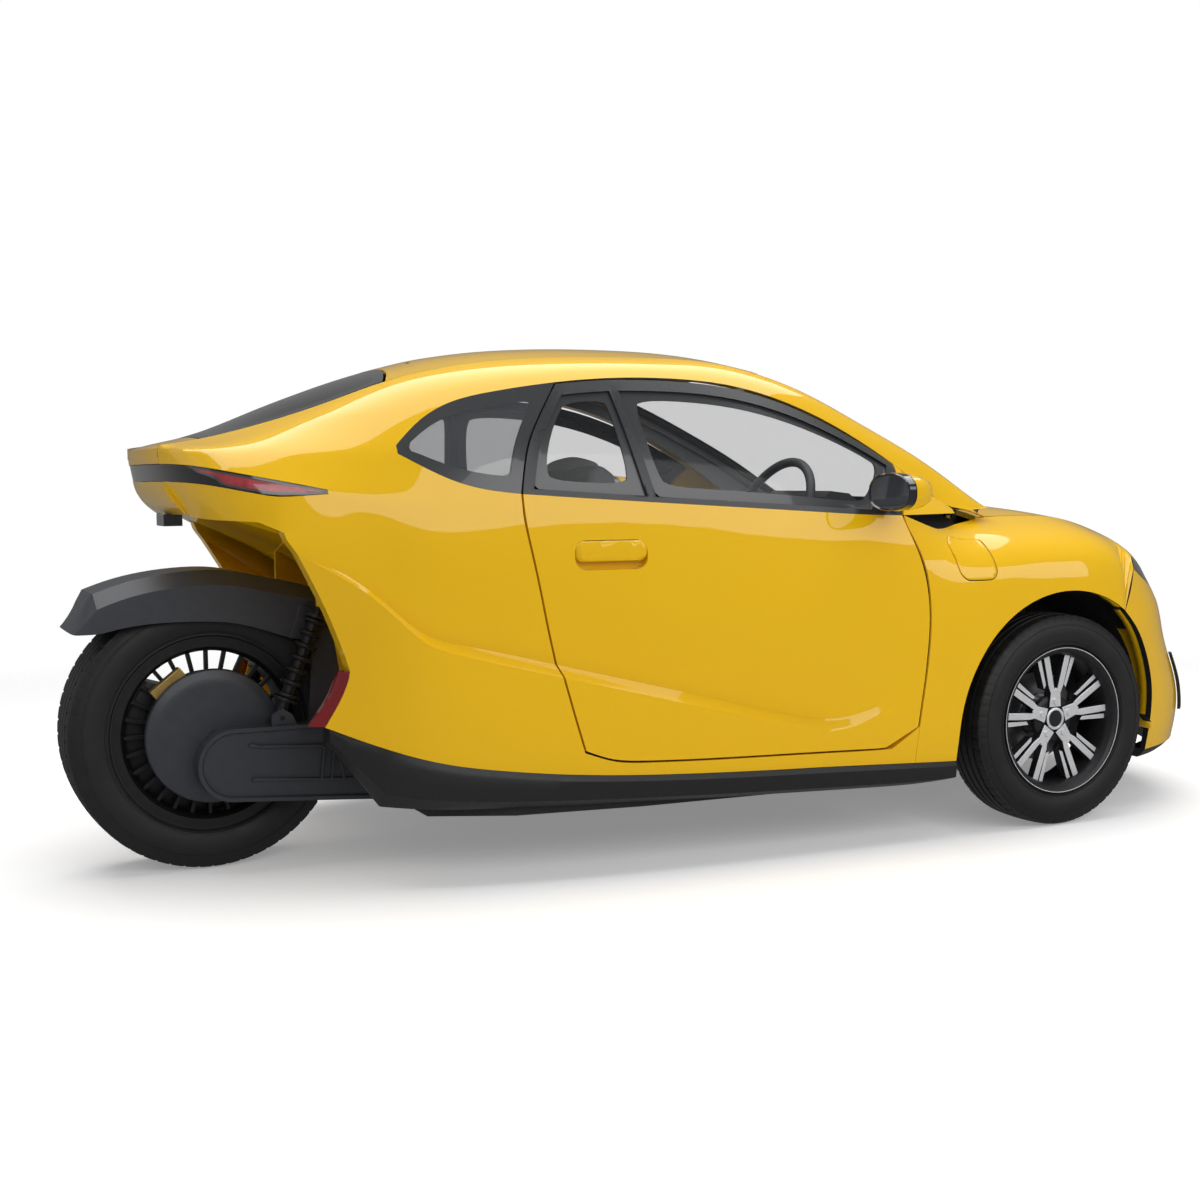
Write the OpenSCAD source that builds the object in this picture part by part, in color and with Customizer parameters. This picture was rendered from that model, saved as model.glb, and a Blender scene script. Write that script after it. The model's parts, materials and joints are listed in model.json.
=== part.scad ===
// Three wheeled car: two steered wheels in front, one driven wheel behind.
// Millimetres. +X is forward, +Y is left, +Z is up. The origin is on the ground
// under the middle of the car. The shapes are drawn from the rear axle and are
// moved to the origin by place().

/* [Whole car] */
// Distance between the front and rear axles
wheelbase = 2100; // [1750:10:2520]
// Width of the body at the front wheel arches
body_w = 1436; // [1200:4:1720]
// Height of the roof above the ground
body_h = 1264; // [1060:4:1500]

/* [Wheels] */
// Radius of a front tyre
front_tyre_r = 280; // [250:1:300]
// Width of a front tyre
front_tyre_w = 150; // [125:1:165]
// Radius of a front rim at its lip
front_rim_r = 192; // [170:1:205]
// Inset of the front tyre's outer face from the widest body line
front_wheel_inset = 17; // [10:1:40]
// Radius of the rear tyre
rear_tyre_r = 328; // [300:1:345]
// Width of the rear tyre
rear_tyre_w = 215; // [180:1:225]
// Radius of the rear rim at its lip
rear_rim_r = 227; // [200:1:240]
// Radius of a front stub axle
stub_r = 22; // [18:1:26]
// Radius of the rear axle
rear_axle_r = 15; // [12:1:20]
// Steering lock of a front wheel, each way, in degrees
steer_lock = 30; // [20:1:32]

/* [Panels] */
// Shut gap around doors and lids
shut_gap = 5; // [4:0.5:8]
// Thickness of a door below its window
door_t = 62; // [50:1:75]
// Thickness of the window frames
frame_t = 26; // [20:1:32]
// Thickness of the body side walls
side_t = 46; // [36:1:56]
// Thickness of the roof
roof_t = 28; // [20:1:36]
// Thickness of the fenders, bonnet and bumper panels
panel_t = 6; // [4:0.5:8]
// Thickness of the window panes
glass_t = 5; // [4:0.5:6]
// Clearance of parts that are fitted into one another
fit_gap = 0.4; // [0.2:0.1:0.8]
// Radial clearance of a pin in its bore
pin_gap = 0.08; // [0.02:0.01:0.1]

/* [Running gear] */
// Running clearance around the wheels and hubs
wheel_gap = 12; // [8:1:20]
// Radius of the cover over the rear drive
drive_cover_r = 160; // [140:1:175]
// Height of the swing arm's casing
arm_h = 172; // [150:1:185]
// Thickness of the swing arm's casing
arm_t = 52; // [40:1:60]

/* [Hidden] */

$fn = 64;
e = 0.01;

// The body is drawn at its standard size, then stretched to the sizes above.
kx = wheelbase/2100;
ky = body_w/1436;
kz = body_h/1264;
nose_x = 2870*kx;
origin_x = (nose_x - rear_tyre_r)/2;
front_x = wheelbase;
front_y = body_w/2 - front_wheel_inset - front_tyre_w/2;
arch_r = 345;

yellow = [0.93, 0.72, 0.10];
black = [0.10, 0.10, 0.11];
grey = [0.24, 0.25, 0.27];
silver = [0.72, 0.73, 0.75];
glass = [0.35, 0.38, 0.40, 0.6];
red = [0.55, 0.05, 0.08];
fabric = [0.66, 0.67, 0.68];

module place() translate([-origin_x, 0, 0]) children();

// ---- curves ----
function sq(x) = x*x;
function mix(a, b, f) = a + (b - a)*f;
function clamp(x, lo = 0, hi = 1) = min(max(x, lo), hi);
function ease(x) = let (c = clamp(x)) c*c*(3 - 2*c);

// Smooth value from a list of evenly spaced values; q counts the values from 0.
function at(list, q) =
    let (n = len(list) - 1, c = clamp(q, 0, n), i = min(floor(c), n - 1), f = c - i,
         a = list[max(i - 1, 0)], b = list[i], d = list[i + 1], g = list[min(i + 2, n)])
    0.5*(2*b + (d - a)*f + (2*a - 5*b + 4*d - g)*f*f + (3*b - a - 3*d + g)*f*f*f);

// Hermite value between (x0, y0) and (x1, y1) with slopes m0 and m1.
function hermite(x, x0, x1, y0, y1, m0, m1) =
    let (h = x1 - x0, f = (x - x0)/h)
    y0*(1 + 2*f)*sq(1 - f) + m0*h*f*sq(1 - f) + y1*f*f*(3 - 2*f) + m1*h*f*f*(f - 1);

// ---- body lines, every 200 mm from x = -200 to x = 2200 ----
// Each pair is the height and the half width of one line along the body side.
sill_z =     [560, 470, 367, 295, 262, 243, 232, 224, 217, 208, 199, 195, 195];
sill_y =     [430, 455, 500, 556, 602, 634, 654, 668, 677, 684, 689, 692, 692];
low_z =      [700, 610, 520, 450, 420, 400, 390, 385, 385, 385, 385, 385, 385];
low_y =      [440, 472, 524, 582, 626, 656, 678, 692, 700, 706, 712, 716, 716];
shoulder_z = [880, 850, 790, 735, 700, 680, 668, 660, 655, 650, 640, 630, 630];
shoulder_y = [462, 480, 524, 580, 618, 648, 670, 686, 696, 704, 712, 718, 718];
belt_z =     [962, 945, 912, 897, 888, 877, 864, 851, 838, 828, 826, 826, 826];
belt_y =     [446, 463, 500, 550, 592, 625, 646, 659, 668, 672, 606, 535, 535];
rail_z =     [1003, 1004, 1040, 1093, 1131, 1157, 1163, 1146, 1088, 991, 862, 720, 580];
rail_y =     [384, 390, 402, 447, 490, 510, 521, 531, 537, 542, 549, 556, 562];
edge_z =     [1003, 1030, 1088, 1163, 1202, 1215, 1217, 1206, 1150, 1060, 960, 832, 700];
edge_y =     [200, 205, 266, 325, 368, 402, 423, 448, 475, 480, 488, 497, 505];
centre_z =   [1003, 1040, 1120, 1190, 1240, 1260, 1264, 1256, 1222, 1134, 1018, 880, 740];
function station(x) = (x + 200)/200;
function line(list, x) = at(list, station(x));

// Crease along the side: its lower edge, the height of its bevel and its depth.
crease_z = [[172, 768], [377, 562], [430, 542], [1300, 320], [1385, 303], [1455, 314], [1540, 348], [1640, 402]];
crease_h = [[172, 6], [320, 18], [500, 26], [1300, 26], [1440, 30], [1640, 20]];
crease_d = [[150, 0], [300, 20], [460, 29], [1300, 28], [1450, 18], [1640, 0]];
scoop_h = 230;
function crease(x, z) =
    let (zc = lookup(x, crease_z), h = lookup(x, crease_h), d = lookup(x, crease_d),
         f = clamp((z - zc)/h), g = 1 - ease((z - zc - h)/scoop_h))
    d*f*g;
// Below the crease the rear end of the side turns in towards the wheel.
turn_depth = 74;
function turn_in(x, z) =
    let (zc = lookup(x, crease_z))
    turn_depth*ease((zc - z + 40)/190)*sq(clamp((440 - x)/230));

// Half width of the cabin part of the side at height z.
function cabin_y(x, z) =
    let (z1 = line(sill_z, x), y1 = line(sill_y, x), z0 = z1 - 90, y0 = y1 - 30,
         z2 = line(low_z, x), y2 = line(low_y, x),
         z3 = line(shoulder_z, x), y3 = line(shoulder_y, x),
         z4 = line(belt_z, x), y4 = line(belt_y, x),
         z6 = line(rail_z, x), y6 = line(rail_y, x),
         z5 = (z4 + z6)/2, y5 = (y4 + y6)/2 + 14,
         zz = [z0, z1, z2, z3, z4, z5, z6], yy = [y0, y1, y2, y3, y4, y5, y6],
         s = [for (i = [0:5]) (yy[i + 1] - yy[i])/max(zz[i + 1] - zz[i], 8)],
         m = [for (i = [0:6]) i == 0 ? s[0] : i == 6 ? s[5]*1.25 : (s[i - 1] + s[i])/2],
         c = clamp(z, z0, max(z6, z4)),
         i = c < z1 ? 0 : c < z2 ? 1 : c < z3 ? 2 : c < z4 ? 3 : c < z5 ? 4 : 5)
    hermite(c, zz[i], zz[i + 1], yy[i], yy[i + 1], m[i], m[i + 1]);

// Half width of the front part of the side, which rounds over into the bonnet.
front_w = 718;
front_mid_z = 600;
front_top_z = 845;
function front_y_at(z) =
    z > front_mid_z
    ? front_w*pow(max(1 - pow((z - front_mid_z)/(front_top_z - front_mid_z), 3), 0), 1/3)
    : front_w*(1 - 0.05*pow((front_mid_z - z)/400, 2.4));

// Above this height and behind this x the surface belongs to the windscreen pillar.
pillar_z = 826.5;
pillar_x = 1990;

// The nose and the tail close in plan as flattened ovals, one for each height.
oval_p = 2.4;
nose_x0 = 2150;
nose_len = [690, 708, 718, 720, 716, 690, 655, 621, 605, 588, 545, 495, 452, 360, 235, 1];
function nose_l(z) = max(at(nose_len, (z - 100)/50), 1);
tail_p = 3;
tail_x0 = 150;
tail_len = [[780, 190], [840, 200], [870, 240], [900, 262], [960, 276], [985, 281], [1004, 286], [1060, 286]];
function tail_l(z) = lookup(z, tail_len);

// Half width of the body at any x and z, from the sill to the roof rail.
function side_y(x, z) =
    let (xc = clamp(x, -200, nose_x0), w = z > pillar_z && x < pillar_x ? 0 : ease((x - 1640)/260),
         cab = w < 1 ? cabin_y(xc, z) - crease(xc, z) - turn_in(xc, z) : 0,
         y = mix(cab, w > 0 ? front_y_at(z) : 0, w),
         n = x > nose_x0 ? (x - nose_x0)/nose_l(z) : 0,
         t = x < tail_x0 ? (tail_x0 - x)/tail_l(z) : 0)
    y*pow(max(1 - pow(n, oval_p), 0), 1/oval_p)*pow(max(1 - pow(t, tail_p), 0), 1/tail_p);

// Height of the top of the front at half width y.
function front_z(x, y, lo = 400, hi = 844.9, n = 15) =
    let (mid = (lo + hi)/2)
    n == 0 ? mid : side_y(x, mid) > y ? front_z(x, y, mid, hi, n - 1) : front_z(x, y, lo, mid, n - 1);

// Height of the roof, windscreen, hatch and tail deck at half width y.
function top_z(x, y) =
    let (zc = line(centre_z, x), ze = line(edge_z, x), ye = line(edge_y, x))
    zc - (zc - ze)*sq(y/ye);

// Point of the side. Heights up to the rail are true heights. Above it the band
// up to the roof seam counts as band_h more, whatever its real height.
band_h = 100;
function side_point(x, h) =
    let (zr = line(rail_z, x))
    h <= zr + e ? [x, side_y(x, h), h]
    : let (v = (h - zr)/band_h, ya = side_y(x, zr), yb = min(line(edge_y, x), max(ya - 4, tail_half)), zb = top_z(x, yb),
           soft = ease((x - 60)/200), c = norm([ya - yb, zb - zr]),
           ty = mix((yb - ya)/c, -0.45, soft), tz = mix((zb - zr)/c, 0.89, soft),
           uy = mix((yb - ya)/c, -0.97, soft), uz = mix((zb - zr)/c, 0.24, soft))
      [x, hermite(v, 0, 1, ya, yb, ty*c, uy*c), hermite(v, 0, 1, zr, zb, tz*c, uz*c)];

// ---- panels ----
// A panel is a grid of outer points with a skin laid inside it. keep(i, j) is
// listed cell by cell, so windows and openings are cells that are left out.
module panel(outer, inner, keep) {
    nu = len(outer);
    nv = len(outer[0]);
    n = nu*nv;
    function id(i, j) = i*nv + j;
    function on(i, j) = i >= 0 && j >= 0 && i < nu - 1 && j < nv - 1 && keep[i][j];
    points = concat([for (c = outer) for (p = c) scale_point(p)], [for (c = inner) for (p = c) scale_point(p)]);
    faces = [for (i = [0:nu - 2]) for (j = [0:nv - 2]) if (on(i, j))
        let (a = id(i, j), b = id(i + 1, j), c = id(i + 1, j + 1), d = id(i, j + 1))
        each concat(
            [[a, b, c], [a, c, d], [n + a, n + c, n + b], [n + a, n + d, n + c]],
            on(i, j - 1) ? [] : [[a, n + a, n + b], [a, n + b, b]],
            on(i + 1, j) ? [] : [[b, n + b, n + c], [b, n + c, c]],
            on(i, j + 1) ? [] : [[c, n + c, n + d], [c, n + d, d]],
            on(i - 1, j) ? [] : [[d, n + d, n + a], [d, n + a, a]])];
    polyhedron(points, faces);
}
function scale_point(p) = [p[0]*kx, p[1]*ky, p[2]*kz];
function all_cells(g) = [for (i = [0:len(g) - 2]) [for (j = [0:len(g[0]) - 2]) true]];

// Both hands: the right side is drawn and the left side is its mirror.
module right() place() mirror([0, 1, 0]) children();
module left() place() children();

// Outer points of a side grid. cols and rows are functions of height and of x.
function meet(fx, fz, i, j, x0, n = 7) =
    n == 0 ? [x0, fz(j, x0)] : meet(fx, fz, i, j, fx(i, fz(j, x0)), n - 1);
function side_grid(fx, fz, nu, nv, banded = true) =
    [for (i = [0:nu]) [for (j = [0:nv]) let (p = meet(fx, fz, i, j, fx(i, 700)))
        banded ? side_point(p[0], p[1]) : [p[0], side_y(p[0], p[1]), p[1]]]];
function inward(g, t) = [for (i = [0:len(g) - 1]) [for (j = [0:len(g[0]) - 1]) g[i][j] - [0, t(i, j), 0]]];

// ---- seams of the side, as x for a height ----
door_rear = [[200, 745], [300, 735], [344, 719], [449, 686], [587, 653], [734, 621], [835, 603], [902, 603], [1035, 636], [1153, 731]];
door_front = [[250, 1626], [330, 1631], [442, 1645], [567, 1656], [642, 1656], [717, 1643], [774, 1616], [817, 1592], [840, 1600], [975, 1668]];
wheel_edge = [[300, 150], [373, 189], [410, 211], [465, 231], [525, 238], [577, 214], [692, 170], [799, 92], [840, 80], [1004, 76]];
function door_rear_x(z) = lookup(z, door_rear);
function door_front_x(z) = lookup(z, door_front);
function tip_x(z) = lookup(z, [[560, 377], [900, 345]]);

// ---- rows of the side, as a height for x ----
function crease_1(x) = lookup(x, crease_z);
function crease_2(x) = crease_1(x) + lookup(x, crease_h);
door_bottom = [[742, 300], [770, 281], [813, 270], [1014, 262], [1279, 256], [1539, 248], [1584, 250], [1608, 264], [1626, 300]];
function sill_line(x) = line(sill_z, x);
function door_low(x) = x < 742 ? mix(sill_line(x), crease_1(x), 0.24) : lookup(x, door_bottom);
function tail_under(x) = lookup(x, [[-140, 882], [-100, 860], [-35, 842], [55, 838], [100, 806], [180, 801], [340, 780], [600, 755], [1640, 745]]);
function lamp_low(x) = lookup(x, [[-110, 928], [-59, 922], [11, 905], [90, 889], [135, 890], [180, 899], [300, 868], [420, 858], [600, 833], [1600, 790]]);
function lamp_high(x) = lookup(x, [[-110, 968], [-59, 960], [11, 943], [91, 927], [180, 908], [300, 894], [420, 884], [600, 862], [1600, 808]]);
function belt_line(x) = lookup(x, [[-140, 990], [0, 984], [345, 985], [404, 949], [468, 916], [530, 901], [612, 892], [784, 879], [1033, 862], [1298, 844], [1528, 828], [1850, 827]]);
function window_top(x) =
    let (r = line(rail_z, x), foot = belt_line(x))
    x < 600 ? min(r, lookup(x, [[0, 1004], [345, 1004], [357, 1012], [372, 1027], [414, 1073], [458, 1100], [525, 1117], [600, 1131]]))
    : r > foot ? r : r + band_h*clamp((foot - r)/(line(edge_z, x) - r));
function seam_line(x) = line(rail_z, x) + band_h;

// ---- body sides ----
body_rows = 17;
function body_row(j, x) =
    j == 0 ? sill_line(x) : j < 4 ? mix(door_low(x), crease_1(x), [0, 0.24, 0.6][j - 1])
    : j == 4 ? crease_1(x) : j == 5 ? crease_2(x) : j < 8 ? mix(crease_2(x), tail_under(x), (j - 5)/3)
    : j == 8 ? tail_under(x) : j == 9 ? lamp_low(x) : j == 10 ? lamp_high(x) : j == 11 ? belt_line(x)
    : j == 12 ? (belt_line(x) + window_top(x))/2 : mix(window_top(x), seam_line(x), (j - 13)/4);
tail_q = [0, 0.62, 0.76, 0.87, 0.94];
tail_half = 200;
function tail_w(z) = cabin_y(-130, z);
function tail_x(q, z) = tail_x0 - tail_l(z)*pow(1 - pow(q, tail_p), 1/tail_p);
function tail_col(i, z) = tail_x(i == 0 ? tail_half/tail_w(z) : tail_q[i], z);
a_pillar_x = 1972;
function body_col(i, z) =
    i < 5 ? tail_col(i, z) : i < 9 ? mix(lookup(z, wheel_edge), tip_x(z), [0, 0.4, 0.7, 1][i - 5])
    : i <= 13 ? mix(tip_x(z), door_rear_x(z), (i - 8)/5)
    : i <= 25 ? mix(door_rear_x(z), door_front_x(z), (i - 13)/12)
    : mix(door_front_x(z), a_pillar_x, (i - 25)/5);
function body_keep(i, j) =
    i < 5 ? j == 8 || j > 9 : i < 6 ? j != 9 : i < 8 ? true : i < 13 ? j < 11 || j > 12
    : i < 25 ? j < 1 || j > 12 : j > 12;
function body_in(p, i, j) =
    let (t = i < 5 ? side_t/2 : side_t, v = clamp((j - 13)/4),
         a = i < 5 ? [0, 15, 35, 55, 75][i] : 90, h = mix(t, 0, v))
    p + [h*cos(a), -h*sin(a), -roof_t*v];
module body_side() {
    outer = side_grid(function (i, z) body_col(i, z), function (j, x) body_row(j, x), 30, body_rows);
    inner = [for (i = [0:30]) [for (j = [0:body_rows]) body_in(outer[i][j], i, j)]];
    panel(outer, inner, [for (i = [0:29]) [for (j = [0:body_rows - 1]) body_keep(i, j)]]);
}
module bodyside_right() color(yellow) right() body_side();
module bodyside_left() color(yellow) left() body_side();

// ---- doors ----
door_f = [0, 0.07, 0.16, 0.26, 0.36, 0.46, 0.55, 0.635, 0.725, 0.806, 0.9, 1];
function door_col(i, z) =
    mix(door_rear_x(z) + shut_gap, door_front_x(z) - shut_gap, door_f[i]);
function door_row(j, x) =
    j == 0 ? door_low(x) + shut_gap : j == 1 ? mix(door_low(x), crease_1(x), 0.5)
    : j == 2 ? crease_1(x) : j == 3 ? crease_2(x)
    : mix(crease_2(x), belt_line(x), [0.22, 0.42, 0.62, 0.78, 0.9, 1][j - 4]);
// The door is thin at its ends, which swing past the fender and the body side.
function door_in(i, j) = i == 11 ? 8 : i == 10 ? door_t - 6 : i == 0 ? 24 : door_t;
module door_panel() {
    outer = side_grid(function (i, z) door_col(i, z), function (j, x) door_row(j, x), 11, 9);
    panel(outer, inward(outer, function (i, j) door_in(i, j)), all_cells(outer));
}
// Window frame of the door: a ring with a slanted divider near its rear end.
rim_w = 26;
// The front corner is a closed triangle that carries the mirror.
function sail_w(z) = lookup(z, [[828, 104], [900, 66], [975, rim_w]]);
function frame_col(i, z) =
    let (a = door_rear_x(z) + shut_gap, b = door_front_x(z) - shut_gap, d = mix(916, 864, (z - 860)/280), f = b - sail_w(z))
    i < 3 ? [a, a + rim_w, mix(a + rim_w, d - 11, 0.5)][i] : i < 10 ? mix(d + (i == 3 ? -11 : 11), f, max(i - 4, 0)/5) : b;
function frame_row(j, x) =
    let (a = belt_line(x) + fit_gap, b = max(window_top(x) - shut_gap, a + 30))
    [a, a + min(rim_w*0.5, (b - a)*0.3), mix(a, b, 0.5), b - min(rim_w, (b - a)*0.3), b][j];
module door_frame() {
    outer = side_grid(function (i, z) frame_col(i, z), function (j, x) frame_row(j, x), 10, 4);
    panel(outer, inward(outer, function (i, j) frame_t),
          [for (i = [0:9]) [for (j = [0:3]) j == 0 || j == 3 || i == 0 || i == 3 || i == 9]]);
}
module door_glass() {
    pane_in = 8;
    for (s = [[1, 3], [4, 9]]) {
        outer = side_grid(function (i, z) let (c = s[0] + i)
                    frame_col(c, z) + (i == 0 ? fit_gap : c == s[1] ? -fit_gap : 0),
                function (j, x) frame_row(j + 1, x) + (j == 0 ? fit_gap : j == 2 ? -fit_gap : 0), s[1] - s[0], 2);
        panel(inward(outer, function (i, j) pane_in), inward(outer, function (i, j) pane_in + glass_t), all_cells(outer));
    }
}

// Door hinges: an upright pin ahead of the seam, leaning with the side. The leaf
// bends round the rear edge of the fender, so that it clears it as the door opens.
hinge_x = 1712;
hinge_z = [420, 610];
hinge_in = 24;
hinge_low = [side_y(hinge_x, hinge_z[0]) - hinge_in, hinge_z[0]];
hinge_high = [side_y(hinge_x, hinge_z[1]) - hinge_in, hinge_z[1]];
hinge_pin_r = 7;
hinge_eye_r = 13;
hinge_eye_h = 36;
cheek_t = 7;
module hinge_frame(a, b, x, p) {
    // Frame on the line from a to b, each a width and a height, at point p of the two
    lean = atan((a[0] - b[0])*ky/((b[1] - a[1])*kz));
    q = mix(a, b, p);
    translate([x*kx, q[0]*ky, q[1]*kz]) rotate([lean, 0, 0]) children();
}
module door_hinges() {
    for (p = [0, 1]) hinge_frame(hinge_low, hinge_high, hinge_x, p) children();
}
module slab(h) translate([0, 0, -h/2]) linear_extrude(h) children();
module hinge_leaf() {
    slab(hinge_eye_h) difference() {
        union() {
            circle(r = hinge_eye_r);
            polygon([[5, -3], [-36, -80], [-120, -64], [-165, -44], [-150, -22], [-118, -44], [-72, -56], [-42, -60], [-5, 3]]);
        }
        circle(r = hinge_pin_r + pin_gap);
    }
}
// Pin with its two cheeks, on a pillar of the floor pan.
module hinge_seat() {
    for (s = [-1, 1]) translate([0, 0, s*(hinge_eye_h/2 + 1 + cheek_t/2)]) slab(cheek_t) {
        circle(r = hinge_pin_r + 4);
        polygon([[-9, 0], [9, 0], [27, -60], [27, -82], [8, -82], [7, -56]]);
    }
    slab(hinge_eye_h + 2 + 2*cheek_t) circle(r = hinge_pin_r);
}
module door() {
    door_panel();
    door_hinges() hinge_leaf();
}
module door_right() color(yellow) right() door();
module door_left() color(yellow) left() door();
module door_frame_right() color(black) right() door_frame();
module door_frame_left() color(black) left() door_frame();
module door_glass_right() color(glass) right() door_glass();
module door_glass_left() color(glass) left() door_glass();

// ---- mirrors, on the front corner of the door ----
mirror_c = [1520, 762, 882];
mirror_r = [64, 90, 46];
module mirror_body() {
    translate([mirror_c[0]*kx, mirror_c[1]*ky, mirror_c[2]*kz]) difference() {
        resize([2*mirror_r[0], 2*mirror_r[1], 2*mirror_r[2]]) sphere(r = 50, $fn = 24);
        translate([-mirror_r[0] - 34, -2*mirror_r[1], -100]) cube([60, 4*mirror_r[1], 200]);
    }
}
mirror_foot = [1552, 866];
foot_r = 12;
module mirror_unit() {
    mirror_body();
    // Foot between the housing and the front corner of the window frame
    y0 = side_y(mirror_foot[0], mirror_foot[1] - foot_r)*ky - 2.4;
    translate([mirror_foot[0]*kx, y0, mirror_foot[1]*kz])
        rotate([-90, 0, 0]) cylinder(r = foot_r, h = mirror_c[1]*ky - y0);
}
module mirror_right() color(yellow) right() mirror_unit();
module mirror_left() color(yellow) left() mirror_unit();

// ---- panels across the car: i runs forward, j runs from left to right ----
function across_grid(fx, fy, fz, nu, nv) =
    [for (i = [0:nu]) [for (j = [0:nv])
        let (s = 1 - 2*j/nv, a = abs(s), x = fx(i/nu, a), y = fy(i/nu, a, x)) [x, sign(s)*y, fz(x, y)]]];
function down(g, t) = [for (c = g) [for (p = c) p - [0, 0, t]]];
seam_gap = 0.8;
function cabin_edge(x, gap) = line(edge_y, x) - gap;

roof_rear = [446, 66];
roof_front = [1400, 96];
function roof_rear_x(a) = roof_rear[0] - roof_rear[1]*a*a;
function roof_front_x(a) = roof_front[0] - roof_front[1]*a*a;
// The rear strip of the roof is a thin skin over the hinges of the hatch.
roof_s = [0, 0.085, 0.12, 0.24, 0.36, 0.48, 0.61, 0.74, 0.87, 1];
roof_skin = 8;
module roof() color(yellow) place() {
    g = across_grid(function (s, a) mix(roof_rear_x(a), roof_front_x(a), roof_s[round(s*9)]),
                    function (s, a, x) a*cabin_edge(x, seam_gap), function (x, y) top_z(x, y), 9, 8);
    panel(g, [for (i = [0:9]) [for (p = g[i]) p - [0, 0, i < 2 ? roof_skin : roof_t]]], all_cells(g));
    for (s = [-1, 1]) hatch_seat(s*hatch_arm_y);
}

screen_foot = [2050, 78];
function screen_foot_x(a) = screen_foot[0] - screen_foot[1]*a*a;
module windscreen() color(glass) place() {
    g = across_grid(function (s, a) mix(roof_front_x(a) + seam_gap, screen_foot_x(a), s),
                    function (s, a, x) a*cabin_edge(x, seam_gap), function (x, y) top_z(x, y) - 3, 7, 8);
    panel(g, down(g, glass_t + 2), all_cells(g));
}

// The rear hatch is one dark pane in a frame. Its two bent arms turn on pins
// under the rear edge of the roof, and bend round that edge as it opens.
hatch_rear_x = -24;
hatch_t = 16;
hatch_pin = [500, 1190];
hatch_arm_y = 110;
lid_pin_r = 4;
lid_eye_r = 9;
arm_w = 14;
module rear_hatch() color(black) place() {
    g = across_grid(function (s, a) mix(hatch_rear_x, roof_rear_x(a) - shut_gap, s),
                    function (s, a, x) a*cabin_edge(x, shut_gap), function (x, y) top_z(x, y), 8, 6);
    panel(g, [for (i = [0:8]) [for (p = g[i]) p - [0, 0, i == 8 ? hatch_t - 9 : hatch_t]]], all_cells(g));
    for (s = [-1, 1]) lid_arm(hatch_pin, s*hatch_arm_y,
        [[8, 0], [8, -78], [-10, -84], [-104, -66], [-112, -17], [-88, -7], [-84, -52], [-10, -66], [-8, 0]]);
}
// A bent arm in the x and z plane, with an eye that turns on a pin at point p.
module lid_arm(p, y, outline) {
    translate([p[0]*kx, y*ky, p[1]*kz]) rotate([90, 0, 0]) slab(arm_w) difference() {
        union() {
            circle(r = lid_eye_r);
            polygon(outline);
        }
        circle(r = lid_pin_r + pin_gap);
    }
}
// The pin with a cheek on each side, in the shape of the given outline.
module lid_seat(p, y, outline) {
    translate([p[0]*kx, y*ky, p[1]*kz]) rotate([90, 0, 0]) {
        for (s = [-1, 1]) translate([0, 0, s*(arm_w/2 + 1 + 3)]) slab(6) {
            circle(r = lid_pin_r + 3);
            polygon(outline);
        }
        slab(arm_w + 2 + 12) circle(r = lid_pin_r);
    }
}
module hatch_seat(y) lid_seat(hatch_pin, y, [[-7, 0], [-7, 18], [44, 24], [44, 6], [4, -6]]);

// ---- bonnet, fenders and bumper ----
// Levels of the leading edge: the lamp's upper and lower lines round the nose.
lamp_tip = [2385, 700];
bonnet_level = 620;
bonnet_half = 500;
function lamp_top(x) = lookup(x, [[2385, 700], [2560, 622], [2600, bonnet_level]]);
function lamp_under(c) = lookup(c, [[0, 668], [0.12, 640], [0.3, 606], [0.42, 578], [0.6, 574], [0.72, 608], [1, 613]]);
// Column c from 0 at the fender seam to 1 at the middle of the nose, at height z.
function fender_seam(z) =
    z < 561 ? front_arch_x(z, 1) : lookup(z, [[561, 2298], [668, 2362], [700, 2382]]);
function front_arch_x(z, s) = 2100 + s*sqrt(max(sq(arch_r) - sq(max(z, 262) - 280), 1));
function nose_point(c, z, inset = 0) =
    let (l = nose_l(z) - inset, ub = clamp((fender_seam(z) + 1.5*seam_gap - nose_x0)/l),
         a0 = asin(pow(ub, oval_p/2)), a = mix(a0, 90, c), w = side_y(nose_x0, z) - inset)
    [nose_x0 + l*pow(sin(a), 2/oval_p), w*pow(max(cos(a), 0), 2/oval_p), z];
bumper_low = 165;
bumper_c = [0, 0.12, 0.24, 0.36, 0.48, 0.6, 0.68, 0.8, 0.92, 1];
bumper_z = [165, 215, 262, 330, 400, 470, 520, 561];
function bumper_level(j, c) =
    j < 7 ? bumper_z[j] : mix(bumper_z[7], lamp_under(c), (j - 7)/2);
function bumper_cols(nv, f) =
    concat([for (i = [0:9]) [for (j = [0:nv]) f(bumper_c[i], j)]],
           [for (i = [8:-1:0]) [for (j = [0:nv]) let (p = f(bumper_c[i], j)) [p[0], -p[1], p[2]]]]);
module wrap_panel(nv, f, t) {
    // Columns run from the left corner round to the right one
    outer = bumper_cols(nv, function (c, j) nose_point(c, f(j, c)));
    inner = bumper_cols(nv, function (c, j) nose_point(c, f(j, c), t));
    panel(outer, inner, all_cells(outer));
}
module front_bumper() color(yellow) place() wrap_panel(9, function (j, c) bumper_level(j, c), 3*panel_t);

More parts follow.
